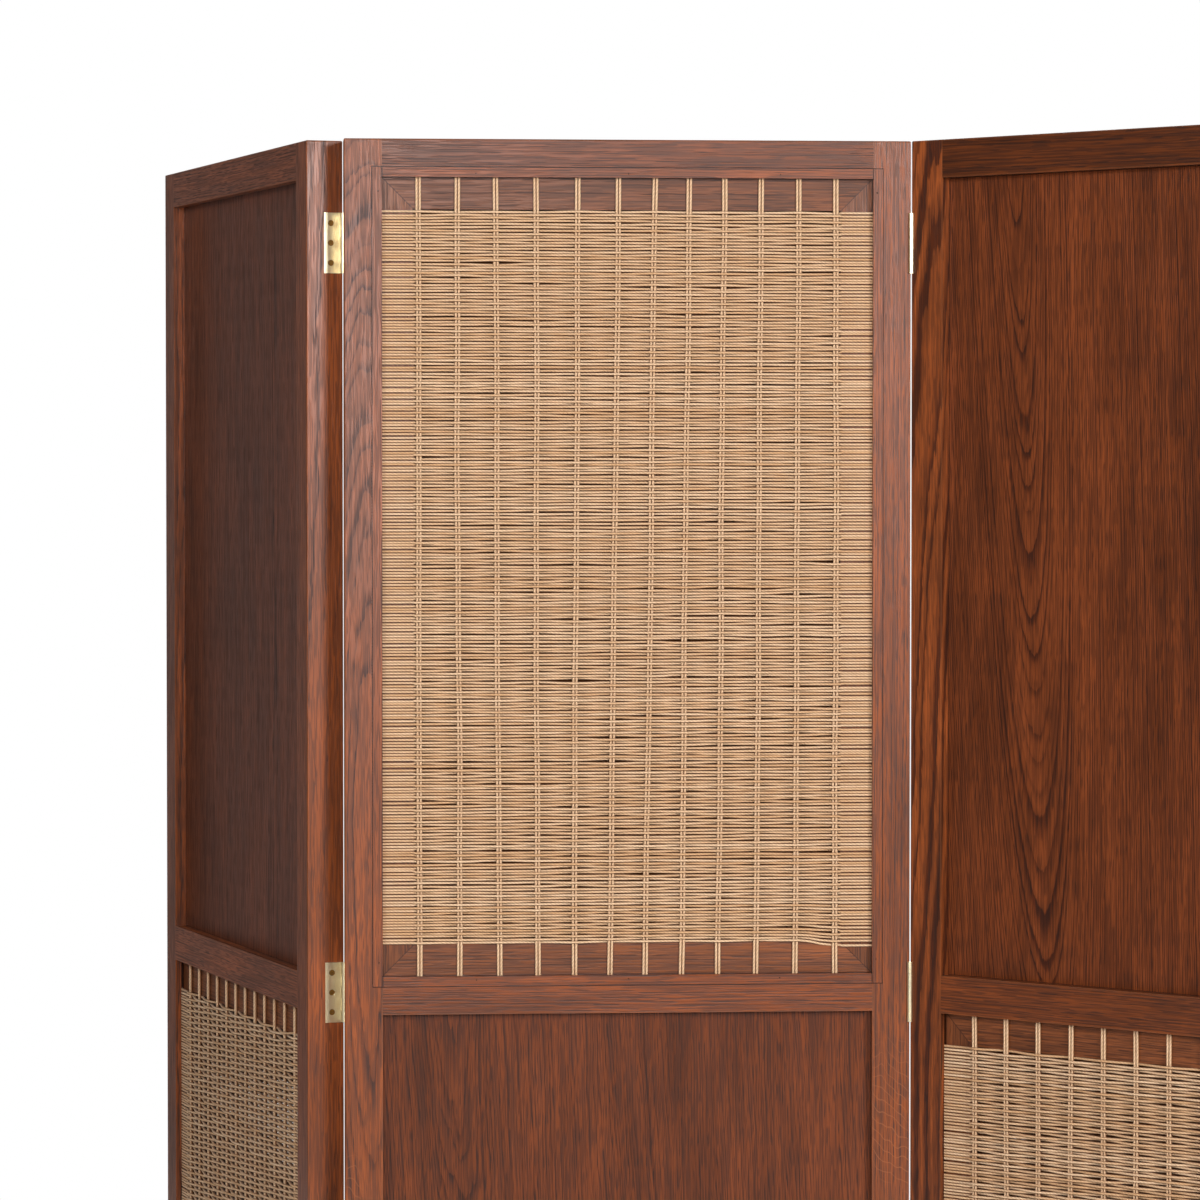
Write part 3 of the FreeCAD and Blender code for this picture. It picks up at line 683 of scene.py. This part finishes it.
@dataclass(frozen=True)
class NylonFinish:
    """Moulded dark nylon, scuffed by the floor."""

    body: Colour = stain(46, 38, 33)
    scuff: Colour = stain(98, 88, 78)

    def dress(self, name: str) -> bpy.types.Material:
        """A material on the object's coordinates.

        Args:
            name: The material's name.

        Returns:
            The material.
        """
        material, graph = new_material(name)
        place = graph.spot()
        mottle = graph.noise(place, (260, 260, 260), Vector((4, 1, 7)), 3.0)
        pitting = graph.noise(place, (1600, 1600, 1600), Vector((6, 2, 3)), 2.0)
        scuffed = graph.ramp(mottle, (0.5, 0.0), (0.75, 0.7))
        graph.surface(
            Base_Color=graph.blend(scuffed, self.body, self.scuff),
            Roughness=graph.math("MULTIPLY_ADD", mottle, 0.3, 0.45),
            Normal=graph.bump(pitting, 0.3, 0.0002),
        )
        return material


def dress_node(node: str, material: bpy.types.Material) -> None:
    """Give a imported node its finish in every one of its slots.

    Args:
        node: The node's name.
        material: The finish.
    """
    piece = frame["nodes"][node]
    if not piece.material_slots:
        piece.data.materials.append(material)
    for place in piece.material_slots:
        place.material = material
    log.info("%s dressed in %s", node, material.name)


def tube_mesh(
    name: str, paths: Array, radii: tuple[float, float], sides: int, side_axis: Array, tones: Array
) -> bpy.types.Object:
    """Cords of oval section along many paths, closed at their ends, as one object.

    A ring of points stands square to each path's direction t: path + p * cos a * n + q * sin a * b,
    where p and q are the radii, n is t crossed with the side axis and b is n crossed with t.  Quads
    join the rings and one flat face closes each end.  The map called along holds the length in
    metres and the share of the way round from n.

    Args:
        name: The object's name.
        paths: Centre lines, as cords by points by coordinates, in the screen's frame.
        radii: The section's half sizes, square to the side axis and along it.
        sides: Points in a ring.
        side_axis: A direction that no path follows.
        tones: One tone for each cord, kept in the attribute called tone.

    Returns:
        The object.
    """
    cords, points, _ = paths.shape
    along = np.gradient(paths, axis=1)
    along /= np.linalg.norm(along, axis=2, keepdims=True)
    normal = np.cross(along, side_axis)
    normal /= np.linalg.norm(normal, axis=2, keepdims=True)
    binormal = np.cross(normal, along)
    angle = (np.arange(sides) + 0.5) * 2 * np.pi / sides
    outward = radii[0] * np.cos(angle)[:, None] * normal[:, :, None]
    sideways = radii[1] * np.sin(angle)[:, None] * binormal[:, :, None]
    vertices = (paths[:, :, None] + outward + sideways).reshape(-1, 3)
    index = np.arange(cords * points * sides).reshape(cords, points, sides)
    beside = np.roll(index, -1, axis=2)
    quads = np.stack((index[:, :-1], index[:, 1:], beside[:, 1:], beside[:, :-1]), axis=-1)
    ends = np.concatenate((index[:, 0].reshape(-1), index[:, -1, ::-1].reshape(-1)))
    sizes = np.concatenate((np.full(quads.size // 4, 4), np.full(2 * cords, sides)))
    steps = np.linalg.norm(np.diff(paths, axis=1), axis=2)
    length = np.concatenate((np.zeros((cords, 1)), np.cumsum(steps, axis=1)), axis=1)
    share = (np.arange(sides) + 0.5) / sides
    low = np.broadcast_to(length[:, :-1, None], (cords, points - 1, sides))
    high = np.broadcast_to(length[:, 1:, None], (cords, points - 1, sides))
    near = np.broadcast_to(share, low.shape)
    maps = np.stack((
        np.stack((low, high, high, low), axis=-1),
        np.stack((near, near, near + 1 / sides, near + 1 / sides), axis=-1),
    ), axis=-1).reshape(-1, 2)
    maps = np.concatenate((maps, np.zeros((ends.size, 2))))
    mesh = bpy.data.meshes.new(name)
    mesh.vertices.add(len(vertices))
    mesh.vertices.foreach_set("co", vertices.astype(np.float32).reshape(-1))
    corners = np.concatenate((quads.reshape(-1), ends))
    mesh.loops.add(corners.size)
    mesh.loops.foreach_set("vertex_index", corners.astype(np.int32))
    mesh.polygons.add(sizes.size)
    mesh.polygons.foreach_set("loop_start", (np.cumsum(sizes) - sizes).astype(np.int32))
    mesh.polygons.foreach_set("use_smooth", np.ones(sizes.size, dtype=bool))
    layer = mesh.uv_layers.new(name="along")
    layer.data.foreach_set("uv", maps.astype(np.float32).reshape(-1))
    tone = mesh.attributes.new("tone", "FLOAT", "POINT")
    tone.data.foreach_set("value", np.repeat(tones, points * sides).astype(np.float32))
    mesh.update(calc_edges=True)
    mesh.validate()
    piece = bpy.data.objects.new(name, mesh)
    bpy.context.scene.collection.objects.link(piece)
    return piece


@dataclass(frozen=True)
class Weave:
    """How one face is woven: lengths in metres, and spreads as shares of a row's height."""

    section: tuple[float, float]
    swing: float
    overlap: float
    step_spread: float
    row_spread: float
    slits: float


LOOSE_WEAVE = Weave((0.00170, 0.00146), 0.0026, 0.0, 0.06, 0.07, 1.0)
CLOSE_WEAVE = Weave((0.00165, 0.00188), 0.0013, 0.0020, 0.02, 0.02, 0.0)


@dataclass
class WovenPanel:
    """The cord on a leaf's inner frame: warp wound in pairs, weft woven across both faces.

    Lengths are in metres and in the leaf's own frame.
    """

    leaf: Leaf
    seed: int
    loose_face: Face = Face.PLAIN
    top_drift: Triple = (0.0, 0.0, 0.08)
    low_drift: float = 0.0
    low_wave: float = 0.23
    droop: float = 0.003
    pairs: int = 12
    first_pair: float = 0.22150
    pair_half: float = 0.00168
    pair_flat: float = 0.0038
    rows: int = 241
    low: float = 0.96080
    top: float = 1.73550
    radius: float = 0.00150
    plane: float = 0.0116
    edge: float = 0.2691
    bend: float = 0.0046
    stile_middle: float = 0.2470
    stile_edge: float = 0.2265
    wind_low: float = 0.9179
    wind_top: float = 1.7791
    slit_share: float = 0.65
    slit_width: tuple[float, float] = (0.16, 0.40)

    def weave(self, face: Face) -> Weave:
        """How a face is woven."""
        return LOOSE_WEAVE if face is self.loose_face else CLOSE_WEAVE

    def pair_lines(self, heights: Array) -> Array:
        """Where each warp pair's middle is at some heights.

        The pairs are evenly spread, and drift: at the top by a bell curve across the leaf, at the
        foot by a slow wave, in a straight line between them, with a small wobble of two sines of
        each pair's own.

        Args:
            heights: Heights in the leaf's frame, of any layout.

        Returns:
            The places across, with the pairs as a new last axis.
        """
        chance = np.random.default_rng(self.seed)
        even = np.linspace(-self.first_pair, self.first_pair, self.pairs)
        rise, centre, spread = self.top_drift
        top_place = even + rise * np.exp(-(((even - centre) / spread) ** 2))
        low_place = even - self.low_drift * np.sin(np.pi * even / self.low_wave)
        share = ((heights - self.low) / (self.top - self.low))[..., None]
        phase = chance.uniform(0, 2 * np.pi, (2, self.pairs))
        size = chance.uniform(0.0002, 0.0007, (2, self.pairs))
        wobble = size[0] * np.sin(2 * np.pi * 1.3 * share + phase[0])
        wobble = wobble + 0.5 * size[1] * np.sin(2 * np.pi * 3.7 * share + phase[1])
        return low_place + share * (top_place - low_place) + wobble

    def row_levels(self, face: Face) -> Array:
        """The height of every weft row at both edges and at every warp pair.

        The rows' steps vary a little, are added up and are fitted to the height of the weave.  Each
        stretch of a row is shifted by a small amount of its own.  On the loose face many rows part
        over a stretch of the width: the rows above go up and those below go down by half the slit,
        less and less with each row away from it.  The lowest rows sag towards the right edge.

        Args:
            face: Which face is woven.

        Returns:
            Heights, as rows by places across.
        """
        chance = np.random.default_rng(self.seed + 50 * (2 + face.value))
        weave = self.weave(face)
        rows, places = self.rows, self.pairs + 2
        column = np.arange(places)[None]
        height = self.top - self.low
        pitch = height / rows
        steps = 1 + weave.step_spread * chance.normal(0, 1, (rows, 1))
        levels = (np.cumsum(steps, axis=0) - steps / 2) / steps.sum(axis=0)
        levels = self.low - weave.overlap + levels * (height + 2 * weave.overlap)
        levels = levels + weave.row_spread * pitch * chance.normal(0, 1, (rows, places))
        start = chance.integers(-4, places, (rows, 1))
        reach = chance.integers(2, 9, (rows, 1))
        slit = chance.uniform(0, 1, (rows, 1)) < self.slit_share
        slit = slit & (column >= start) & (column < start + reach)
        width = slit * chance.uniform(*self.slit_width, (rows, 1))
        width = width * chance.uniform(0.6, 1.0, (rows, places))
        away = np.arange(rows)[:, None] - np.arange(rows)[None] - 0.5
        push = 0.5 * np.sign(away) * np.exp(-(np.abs(away) - 0.5) / 2.0)
        levels = levels + weave.slits * pitch * (push @ width)
        near_edge = np.clip((column - places + 3) / 1.15, 0, 1)
        sag = np.exp(-np.arange(rows) / 5.0)[:, None] * near_edge
        return levels - self.droop * sag

    def weft_paths(self, face: Face) -> Array:
        """The centre lines of one face's weft.

        Between two pairs a row crosses from over the one to under the other along half a cosine
        and a straight line, taken together, and rows alternate.  Beyond the last pairs the row lies
        on the inner stile, bends round its arris by a quarter circle and ends half way through the
        leaf.

        Args:
            face: Which face is woven.

        Returns:
            Paths, as rows by points by coordinates, in the leaf's frame.
        """
        levels = self.row_levels(face)
        lines = self.pair_lines(levels.mean(axis=1))
        share = np.array((0.09, 0.36, 0.64, 0.91))
        glide = np.clip((share - 0.09) / 0.82, 0, 1)
        ease = (1 - np.cos(np.pi * glide)) / 2
        turn = np.arange(self.rows)[:, None] + np.arange(self.pairs)
        over = np.where(turn % 2 == 0, 1.0, -1.0)
        first, second = lines[:, :-1, None], lines[:, 1:, None]
        across = (first + share * (second - first)).reshape(self.rows, -1)
        swing = (over[:, :-1, None] * (1 - glide - ease)).reshape(self.rows, -1)
        here, there = levels[:, 1:-2, None], levels[:, 2:-1, None]
        up = (here + ease * (there - here)).reshape(self.rows, -1)
        corner = np.radians((0, 30, 60, 90))
        turn_across = self.edge - self.bend + self.bend * np.cos(corner)
        turn_through = self.plane - self.bend + self.bend * np.sin(corner)
        inward = (self.stile_middle, self.stile_edge + self.radius)
        side_across = np.concatenate(((self.edge,), turn_across, inward))
        side_through = np.concatenate(((0.0,), turn_through, (self.plane, self.plane)))
        count = side_across.size
        whole = np.ones((self.rows, 1))
        x = np.concatenate((
            -side_across * whole, lines[:, :1] - self.pair_flat, across,
            lines[:, -1:] + self.pair_flat, side_across[::-1] * whole,
        ), axis=1)
        depth = np.concatenate((over[:, :1], swing, over[:, -1:]), axis=1)
        depth = self.plane + self.weave(face).swing * depth
        y = np.concatenate((side_through * whole, depth, side_through[::-1] * whole), axis=1)
        z = np.concatenate((
            np.repeat(levels[:, :1], count, axis=1), levels[:, 1:2], up, levels[:, -2:-1],
            np.repeat(levels[:, -1:], count, axis=1),
        ), axis=1)
        return np.stack((x, face.value * y, z), axis=-1)

    def warp_path(self) -> Array:
        """The centre line of the warp: one cord, wound down one face and up the other.

        A loop is a tall rectangle round the inner frame with quarter circles at its corners.  On
        the top edge the cord steps across to the next loop.

        Returns:
            One path, as one cord by points by coordinates, in the leaf's frame.
        """
        corner = np.radians((0.0, 30.0, 60.0, 90.0))
        arc_in, arc_out = self.bend * (1 - np.sin(corner)), self.bend * (1 - np.cos(corner))
        run = np.linspace(self.wind_top - self.bend, self.wind_low + self.bend, 26)[1:-1]
        down_y = -self.plane + np.concatenate((arc_out[::-1], np.zeros(run.size), arc_out))
        down_z = np.concatenate((self.wind_top - arc_in[::-1], run, self.wind_low + arc_in))
        y = np.concatenate((down_y, -down_y[::-1]))
        z = np.concatenate((down_z, down_z[::-1]))
        pair = np.repeat(np.arange(self.pairs), 2)
        hand = np.tile((-self.pair_half, self.pair_half), self.pairs)
        x = self.pair_lines(z)[:, pair].T + hand[:, None]
        loops = np.stack((x, np.broadcast_to(y, x.shape), np.broadcast_to(z, x.shape)), axis=-1)
        return loops.reshape(1, -1, 3)

    def build(self, finish: bpy.types.Material) -> None:
        """Build the warp and both faces of weft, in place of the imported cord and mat.

        Args:
            finish: The cord's material.
        """
        leaf = self.leaf
        chance = np.random.default_rng(self.seed + 5)
        for face in Face:
            name = f"{leaf.name}_weft_{face.name.lower()}_face"
            paths = leaf.to_row(self.weft_paths(face))
            tones = np.clip(0.5 + 0.26 * chance.normal(0, 1, self.rows), 0, 1)
            upright = leaf.direction((0.0, 0.0, -face.value))
            weft = tube_mesh(name, paths, self.weave(face).section, 6, upright, tones)
            self.fit(weft, f"{leaf.name}_weft_mat", finish)
        path = leaf.to_row(self.warp_path())
        section = (self.radius, self.radius)
        across = leaf.direction((1.0, 0.0, 0.0))
        tones = np.array((0.75,))
        warp = tube_mesh(f"{leaf.name}_warp_pairs", path, section, 8, across, tones)
        self.fit(warp, f"{leaf.name}_warp_cord", finish)

    def fit(self, piece: bpy.types.Object, node: str, finish: bpy.types.Material) -> None:
        """Dress a piece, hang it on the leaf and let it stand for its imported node.

        Args:
            piece: The new piece.
            node: The node that it stands for.
            finish: The cord's material.
        """
        piece.data.materials.append(finish)
        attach(piece, self.leaf.name)
        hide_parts(node)
        log.info("%s: %d faces", piece.name, len(piece.data.polygons))


# Every board's name within its leaf, its finish, its grain, and the joint and painted shade lines
# on it.
BOARDS: tuple[tuple[str, OakFinish, Grain, Seam], ...] = (
    ("left_stile", FRAME_OAK, Grain.UPRIGHT, Seam.NONE),
    ("right_stile", FRAME_OAK, Grain.UPRIGHT, Seam.NONE),
    ("top_rail", FRAME_OAK, Grain.ACROSS, Seam.NONE),
    ("middle_rail", FRAME_OAK, Grain.ACROSS, Seam.NONE),
    ("bottom_rail", FRAME_OAK, Grain.ACROSS, Seam.NONE),
    ("veneered_panel", PANEL_OAK, Grain.UPRIGHT, Seam.GROOVE_SHADE),
    ("inner_left_stile", INNER_OAK, Grain.UPRIGHT, Seam.MITRE_AND_SHADE_LOW),
    ("inner_right_stile", INNER_OAK, Grain.UPRIGHT, Seam.MITRE_AND_SHADE_HIGH),
    ("inner_top_rail", INNER_OAK, Grain.ACROSS, Seam.MITRE_AND_SHADE_LOW),
    ("inner_bottom_rail", INNER_OAK, Grain.ACROSS, Seam.MITRE_AND_SHADE_HIGH),
    ("stop_beads", FRAME_OAK, Grain.UPRIGHT, Seam.BEADS),
)


@dataclass
class Timber:
    """The boards of one leaf, each with its own cut of oak."""

    leaf: Leaf
    seed: int
    cuts: dict[str, OakCut]

    def plain_cut(self, number: int) -> OakCut:
        """A straight-grained cut, with its pith at one of five places beside the board."""
        return OakCut(pith_across=0.10 + 0.03 * ((number * 7 + self.seed) % 5))

    def material(self, number: int, node: str) -> bpy.types.Material:
        """A material for one board, with its own pattern.

        The board's place comes from the object's coordinates, turned by the leaf's fold, and laid
        down where the grain runs across.

        Args:
            number: The board's number among the boards.
            node: The board's node.

        Returns:
            The material.
        """
        board, oak, grain, seam = BOARDS[number]
        material, graph = new_material(f"oak_{node}")
        turn = (LYING if grain is Grain.ACROSS else UNTURNED) @ self.leaf.unfolding()
        corners = np.array([vertex.co for vertex in frame["nodes"][node].data.vertices])
        corners = corners @ np.array(turn).T
        low, high = corners.min(axis=0), corners.max(axis=0)
        place = graph.mapped(graph.spot(), -Vector((low + high) / 2), turn=turn)
        shift = np.random.default_rng(self.seed * 100 + number).uniform(-40, 40, 3)
        cut = self.cuts.get(board, self.plain_cut(number))
        OakBoard(oak, cut, seam, graph, place, (high - low) / 2, Vector(shift)).paint()
        return material

    def dress(self) -> None:
        """Give each board its material."""
        for number, (board, *_) in enumerate(BOARDS):
            node = f"{self.leaf.name}_{board}"
            dress_node(node, self.material(number, node))


class Hardware:
    """Hinges, screws, bead pins and floor glides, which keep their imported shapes."""

    def dress(self) -> None:
        """Give every piece of metal and nylon the finish of the first name that fits it."""
        finishes = (
            # The screws get brass darkened as painted shade of their countersinks.
            ("_hinge_screws", SCREW_BRASS_PAINTED_SHADE.dress("aged_brass")),
            ("_hinge_", BRASS.dress("polished_brass")),
            ("_bead_pins", STEEL.dress("bare_steel")),
            ("_floor_glides", NylonFinish().dress("dark_nylon")),
        )
        for node in sorted(frame["nodes"]):
            fitting = [finish for name, finish in finishes if name in node]
            if fitting:
                dress_node(node, fitting[0])


@dataclass(frozen=True)
class Softbox:
    """A square soft light that the camera doesn't see."""

    name: str
    place: Triple
    aim: Triple
    side: float
    watts: float

    def build(self) -> None:
        """Hang the light and turn it to its aim."""
        lamp = bpy.data.lights.new(self.name, "AREA")
        lamp.shape = "SQUARE"
        lamp.size = self.side
        lamp.energy = self.watts
        light = bpy.data.objects.new(self.name, lamp)
        light.location = self.place
        towards = Vector(self.aim) - Vector(self.place)
        light.rotation_euler = towards.to_track_quat("-Z", "Y").to_euler()
        light.visible_camera = False
        bpy.context.scene.collection.objects.link(light)


MIDDLE_WEAVE = (-0.13, 0.0, 1.30)
SOFTBOXES = (
    Softbox("left_softbox", (-2.58, -3.57, 3.02), MIDDLE_WEAVE, 1.0, 58.0),
    Softbox("right_softbox", (2.05, -4.17, 2.40), MIDDLE_WEAVE, 1.2, 118.0),
    Softbox("front_softbox", (-0.72, -5.0, 1.95), MIDDLE_WEAVE, 1.2, 76.0),
    Softbox("back_softbox", (2.2, 4.6, 2.6), (0.0, 0.0, 1.0), 3.2, 150.0),
)


@dataclass
class Studio:
    """Camera, soft lights, white surround and a pale floor, set out from the middle leaf."""

    leaf: Leaf
    camera_place: Triple = (-0.3796, -4.8086, 1.4549)
    camera_tilt: float = 1.554
    camera_turn: float = 4.172
    lens: float = 136.4
    sensor: float = 36.0
    ambient: float = 0.08
    gloss_sides: float = 0.08
    floor_radius: float = 3.6
    floor_rings: int = 7
    floor_spokes: int = 64
    floor_dark: Colour = (0.80, 0.79, 0.77, 1.0)
    floor_light: Colour = (0.84, 0.83, 0.81, 1.0)
    floor_glow: float = 0.5

    def build(self) -> None:
        """Set up everything round the screen."""
        self.add_camera()
        self.add_surround()
        self.add_floor()
        for softbox in SOFTBOXES:
            softbox.build()
        bpy.context.scene.view_settings.view_transform = "Standard"
        log.info("studio ready")

    def add_camera(self) -> None:
        """A long lens in front of the screen, a little left and below its top."""
        lens = bpy.data.cameras.new("camera")
        lens.lens = self.lens
        lens.sensor_width = self.sensor
        lens.clip_end = 100.0
        camera = bpy.data.objects.new("camera", lens)
        camera.location = self.leaf.to_row(np.array(self.camera_place))
        tilt, turn = math.radians(90 - self.camera_tilt), math.radians(-self.camera_turn)
        camera.rotation_euler = (tilt, 0.0, turn)
        bpy.context.scene.collection.objects.link(camera)
        bpy.context.scene.camera = camera

    def add_surround(self) -> None:
        """A world that is white to the camera and dim as a light.

        In reflections it is a studio: white behind the screen, above it and below it, and dim at
        its sides.  The white comes in with the share of the ray's direction that points back, or
        up or down.
        """
        world = bpy.data.worlds.new("surround")
        world.use_nodes = True
        bpy.context.scene.world = world
        graph = Graph(world.node_tree)
        path = graph.add("LightPath", {}).outputs
        towards = graph.add("TexCoord", {}).outputs["Generated"]
        behind = graph.ramp(graph.part(towards, 1), (0.88, 0.0), (0.97, 1.0))
        upright = graph.math("ABSOLUTE", graph.part(towards, 2))
        upright = graph.ramp(upright, (0.55, 0.0), (0.85, 1.0))
        studio = graph.math("MAXIMUM", graph.math("MAXIMUM", behind, upright), self.gloss_sides)
        seen = graph.math("MAXIMUM", path["Is Camera Ray"], path["Is Transmission Ray"])
        mirrored = graph.math("MULTIPLY", path["Is Glossy Ray"], studio)
        strength = graph.math("MAXIMUM", graph.math("MAXIMUM", seen, mirrored), self.ambient)
        background = graph.add("Background", {"Color": WHITE, "Strength": strength})
        graph.add("OutputWorld", {0: background.outputs[0]})

    def floor_mesh(self) -> bpy.types.Mesh:
        """A disc: rings of points at even steps from the middle, joined by quads and one cap.

        Returns:
            The mesh.
        """
        shape = (self.floor_rings, self.floor_spokes)
        out = np.linspace(0.0, self.floor_radius, self.floor_rings + 1)[1:]
        turn = np.linspace(0.0, 2 * np.pi, self.floor_spokes, endpoint=False)
        flat = (np.outer(out, np.cos(turn)), np.outer(out, np.sin(turn)), np.zeros(shape))
        points = np.stack(flat, axis=-1).reshape(-1, 3)
        index = np.arange(points.shape[0]).reshape(shape)
        beside = np.roll(index, -1, axis=1)
        bands = np.stack((index[:-1], index[1:], beside[1:], beside[:-1]), axis=-1).reshape(-1, 4)
        mesh = bpy.data.meshes.new("floor")
        mesh.from_pydata(points.tolist(), [], [*bands.tolist(), index[0].tolist()])
        return mesh

    def add_floor(self) -> None:
        """A round pale floor.

        It takes shadows, is lifted towards white where it is seen, and fades into the white
        surround.
        """
        mesh = self.floor_mesh()
        floor = bpy.data.objects.new("floor", mesh)
        bpy.context.scene.collection.objects.link(floor)
        material, graph = new_material("pale_floor")
        place = graph.spot()
        grain = graph.ramp(graph.noise(place, (40, 40, 40), ORIGIN, 3.0), (0.3, 0.0), (0.7, 1.0))
        reach = graph.add("VectorMath", {0: place}, operation="LENGTH").outputs["Value"]
        share = graph.math("DIVIDE", reach, self.floor_radius)
        fade = graph.ramp(share, (0.45, 0.0), (0.98, 1.0))
        path = graph.add("LightPath", {}).outputs
        seen = graph.math("MAXIMUM", path["Is Camera Ray"], path["Is Glossy Ray"])
        seen = graph.math("MAXIMUM", seen, path["Is Transmission Ray"])
        pale = graph.add("BsdfPrincipled", {
            "Base Color": graph.blend(grain, self.floor_dark, self.floor_light),
            "Roughness": 0.9,
            "Emission Color": WHITE,
            "Emission Strength": graph.math("MULTIPLY", seen, self.floor_glow),
        })
        white = graph.add("Emission", {})
        faded = graph.math("MULTIPLY", fade, seen)
        mix = graph.add("MixShader", {0: faded, 1: pale.outputs[0], 2: white.outputs[0]})
        graph.add("OutputMaterial", {0: mix.outputs[0]})
        mesh.materials.append(material)


MIDDLE_CUTS = {
    "left_stile": OakCut(
        pith_across=0.006, pith_behind=0.012, lean=0.0, bow=0.09, bow_centre=0.12,
        ring=0.0036, waver=0.005, rays=0.6,
    ),
    "right_stile": OakCut(pith_across=0.12, rays=0.8),
    "top_rail": OakCut(pith_across=0.13, tone=0.66),
    "middle_rail": OakCut(pith_across=0.11, tone=0.82),
    "veneered_panel": OakCut(
        pith_across=-0.165, pith_behind=0.035, lean=-0.050, bow=0.03, bow_centre=0.20,
        waver=0.012, contrast=0.65, tone=0.92,
    ),
}
RIGHT_CUTS = {
    "left_stile": OakCut(
        pith_across=0.050, pith_behind=0.030, lean=0.012, bow=0.05, bow_centre=-0.10,
        ring=0.0110, waver=0.012, contrast=2.2,
    ),
    "top_rail": OakCut(pith_across=0.11, tone=0.40),
    "middle_rail": OakCut(pith_across=0.14, tone=0.72),
    "veneered_panel": OakCut(
        pith_across=-0.155, pith_behind=0.035, lean=-0.050, bow=0.01, bow_centre=0.36,
        ring=0.0024, waver=0.0015, contrast=1.0,
    ),
}


def main() -> None:
    """Build the studio, dress the boards and the hardware, and weave the cord."""
    logging.basicConfig(level=logging.INFO, format="%(name)s: %(message)s")
    left, middle, right = leaves()
    Studio(middle).build()
    Timber(left, 1, {}).dress()
    Timber(middle, 2, MIDDLE_CUTS).dress()
    Timber(right, 3, RIGHT_CUTS).dress()
    Hardware().dress()
    cord = CordFinish().dress("paper_cord")
    drift = (0.010, -0.015, 0.08)
    WovenPanel(left, 11).build(cord)
    WovenPanel(
        middle, 12, loose_face=Face.BEAD, top_drift=drift, low_drift=0.0045, droop=0.006
    ).build(cord)
    WovenPanel(right, 13).build(cord)


if __name__ == "__main__":
    main()
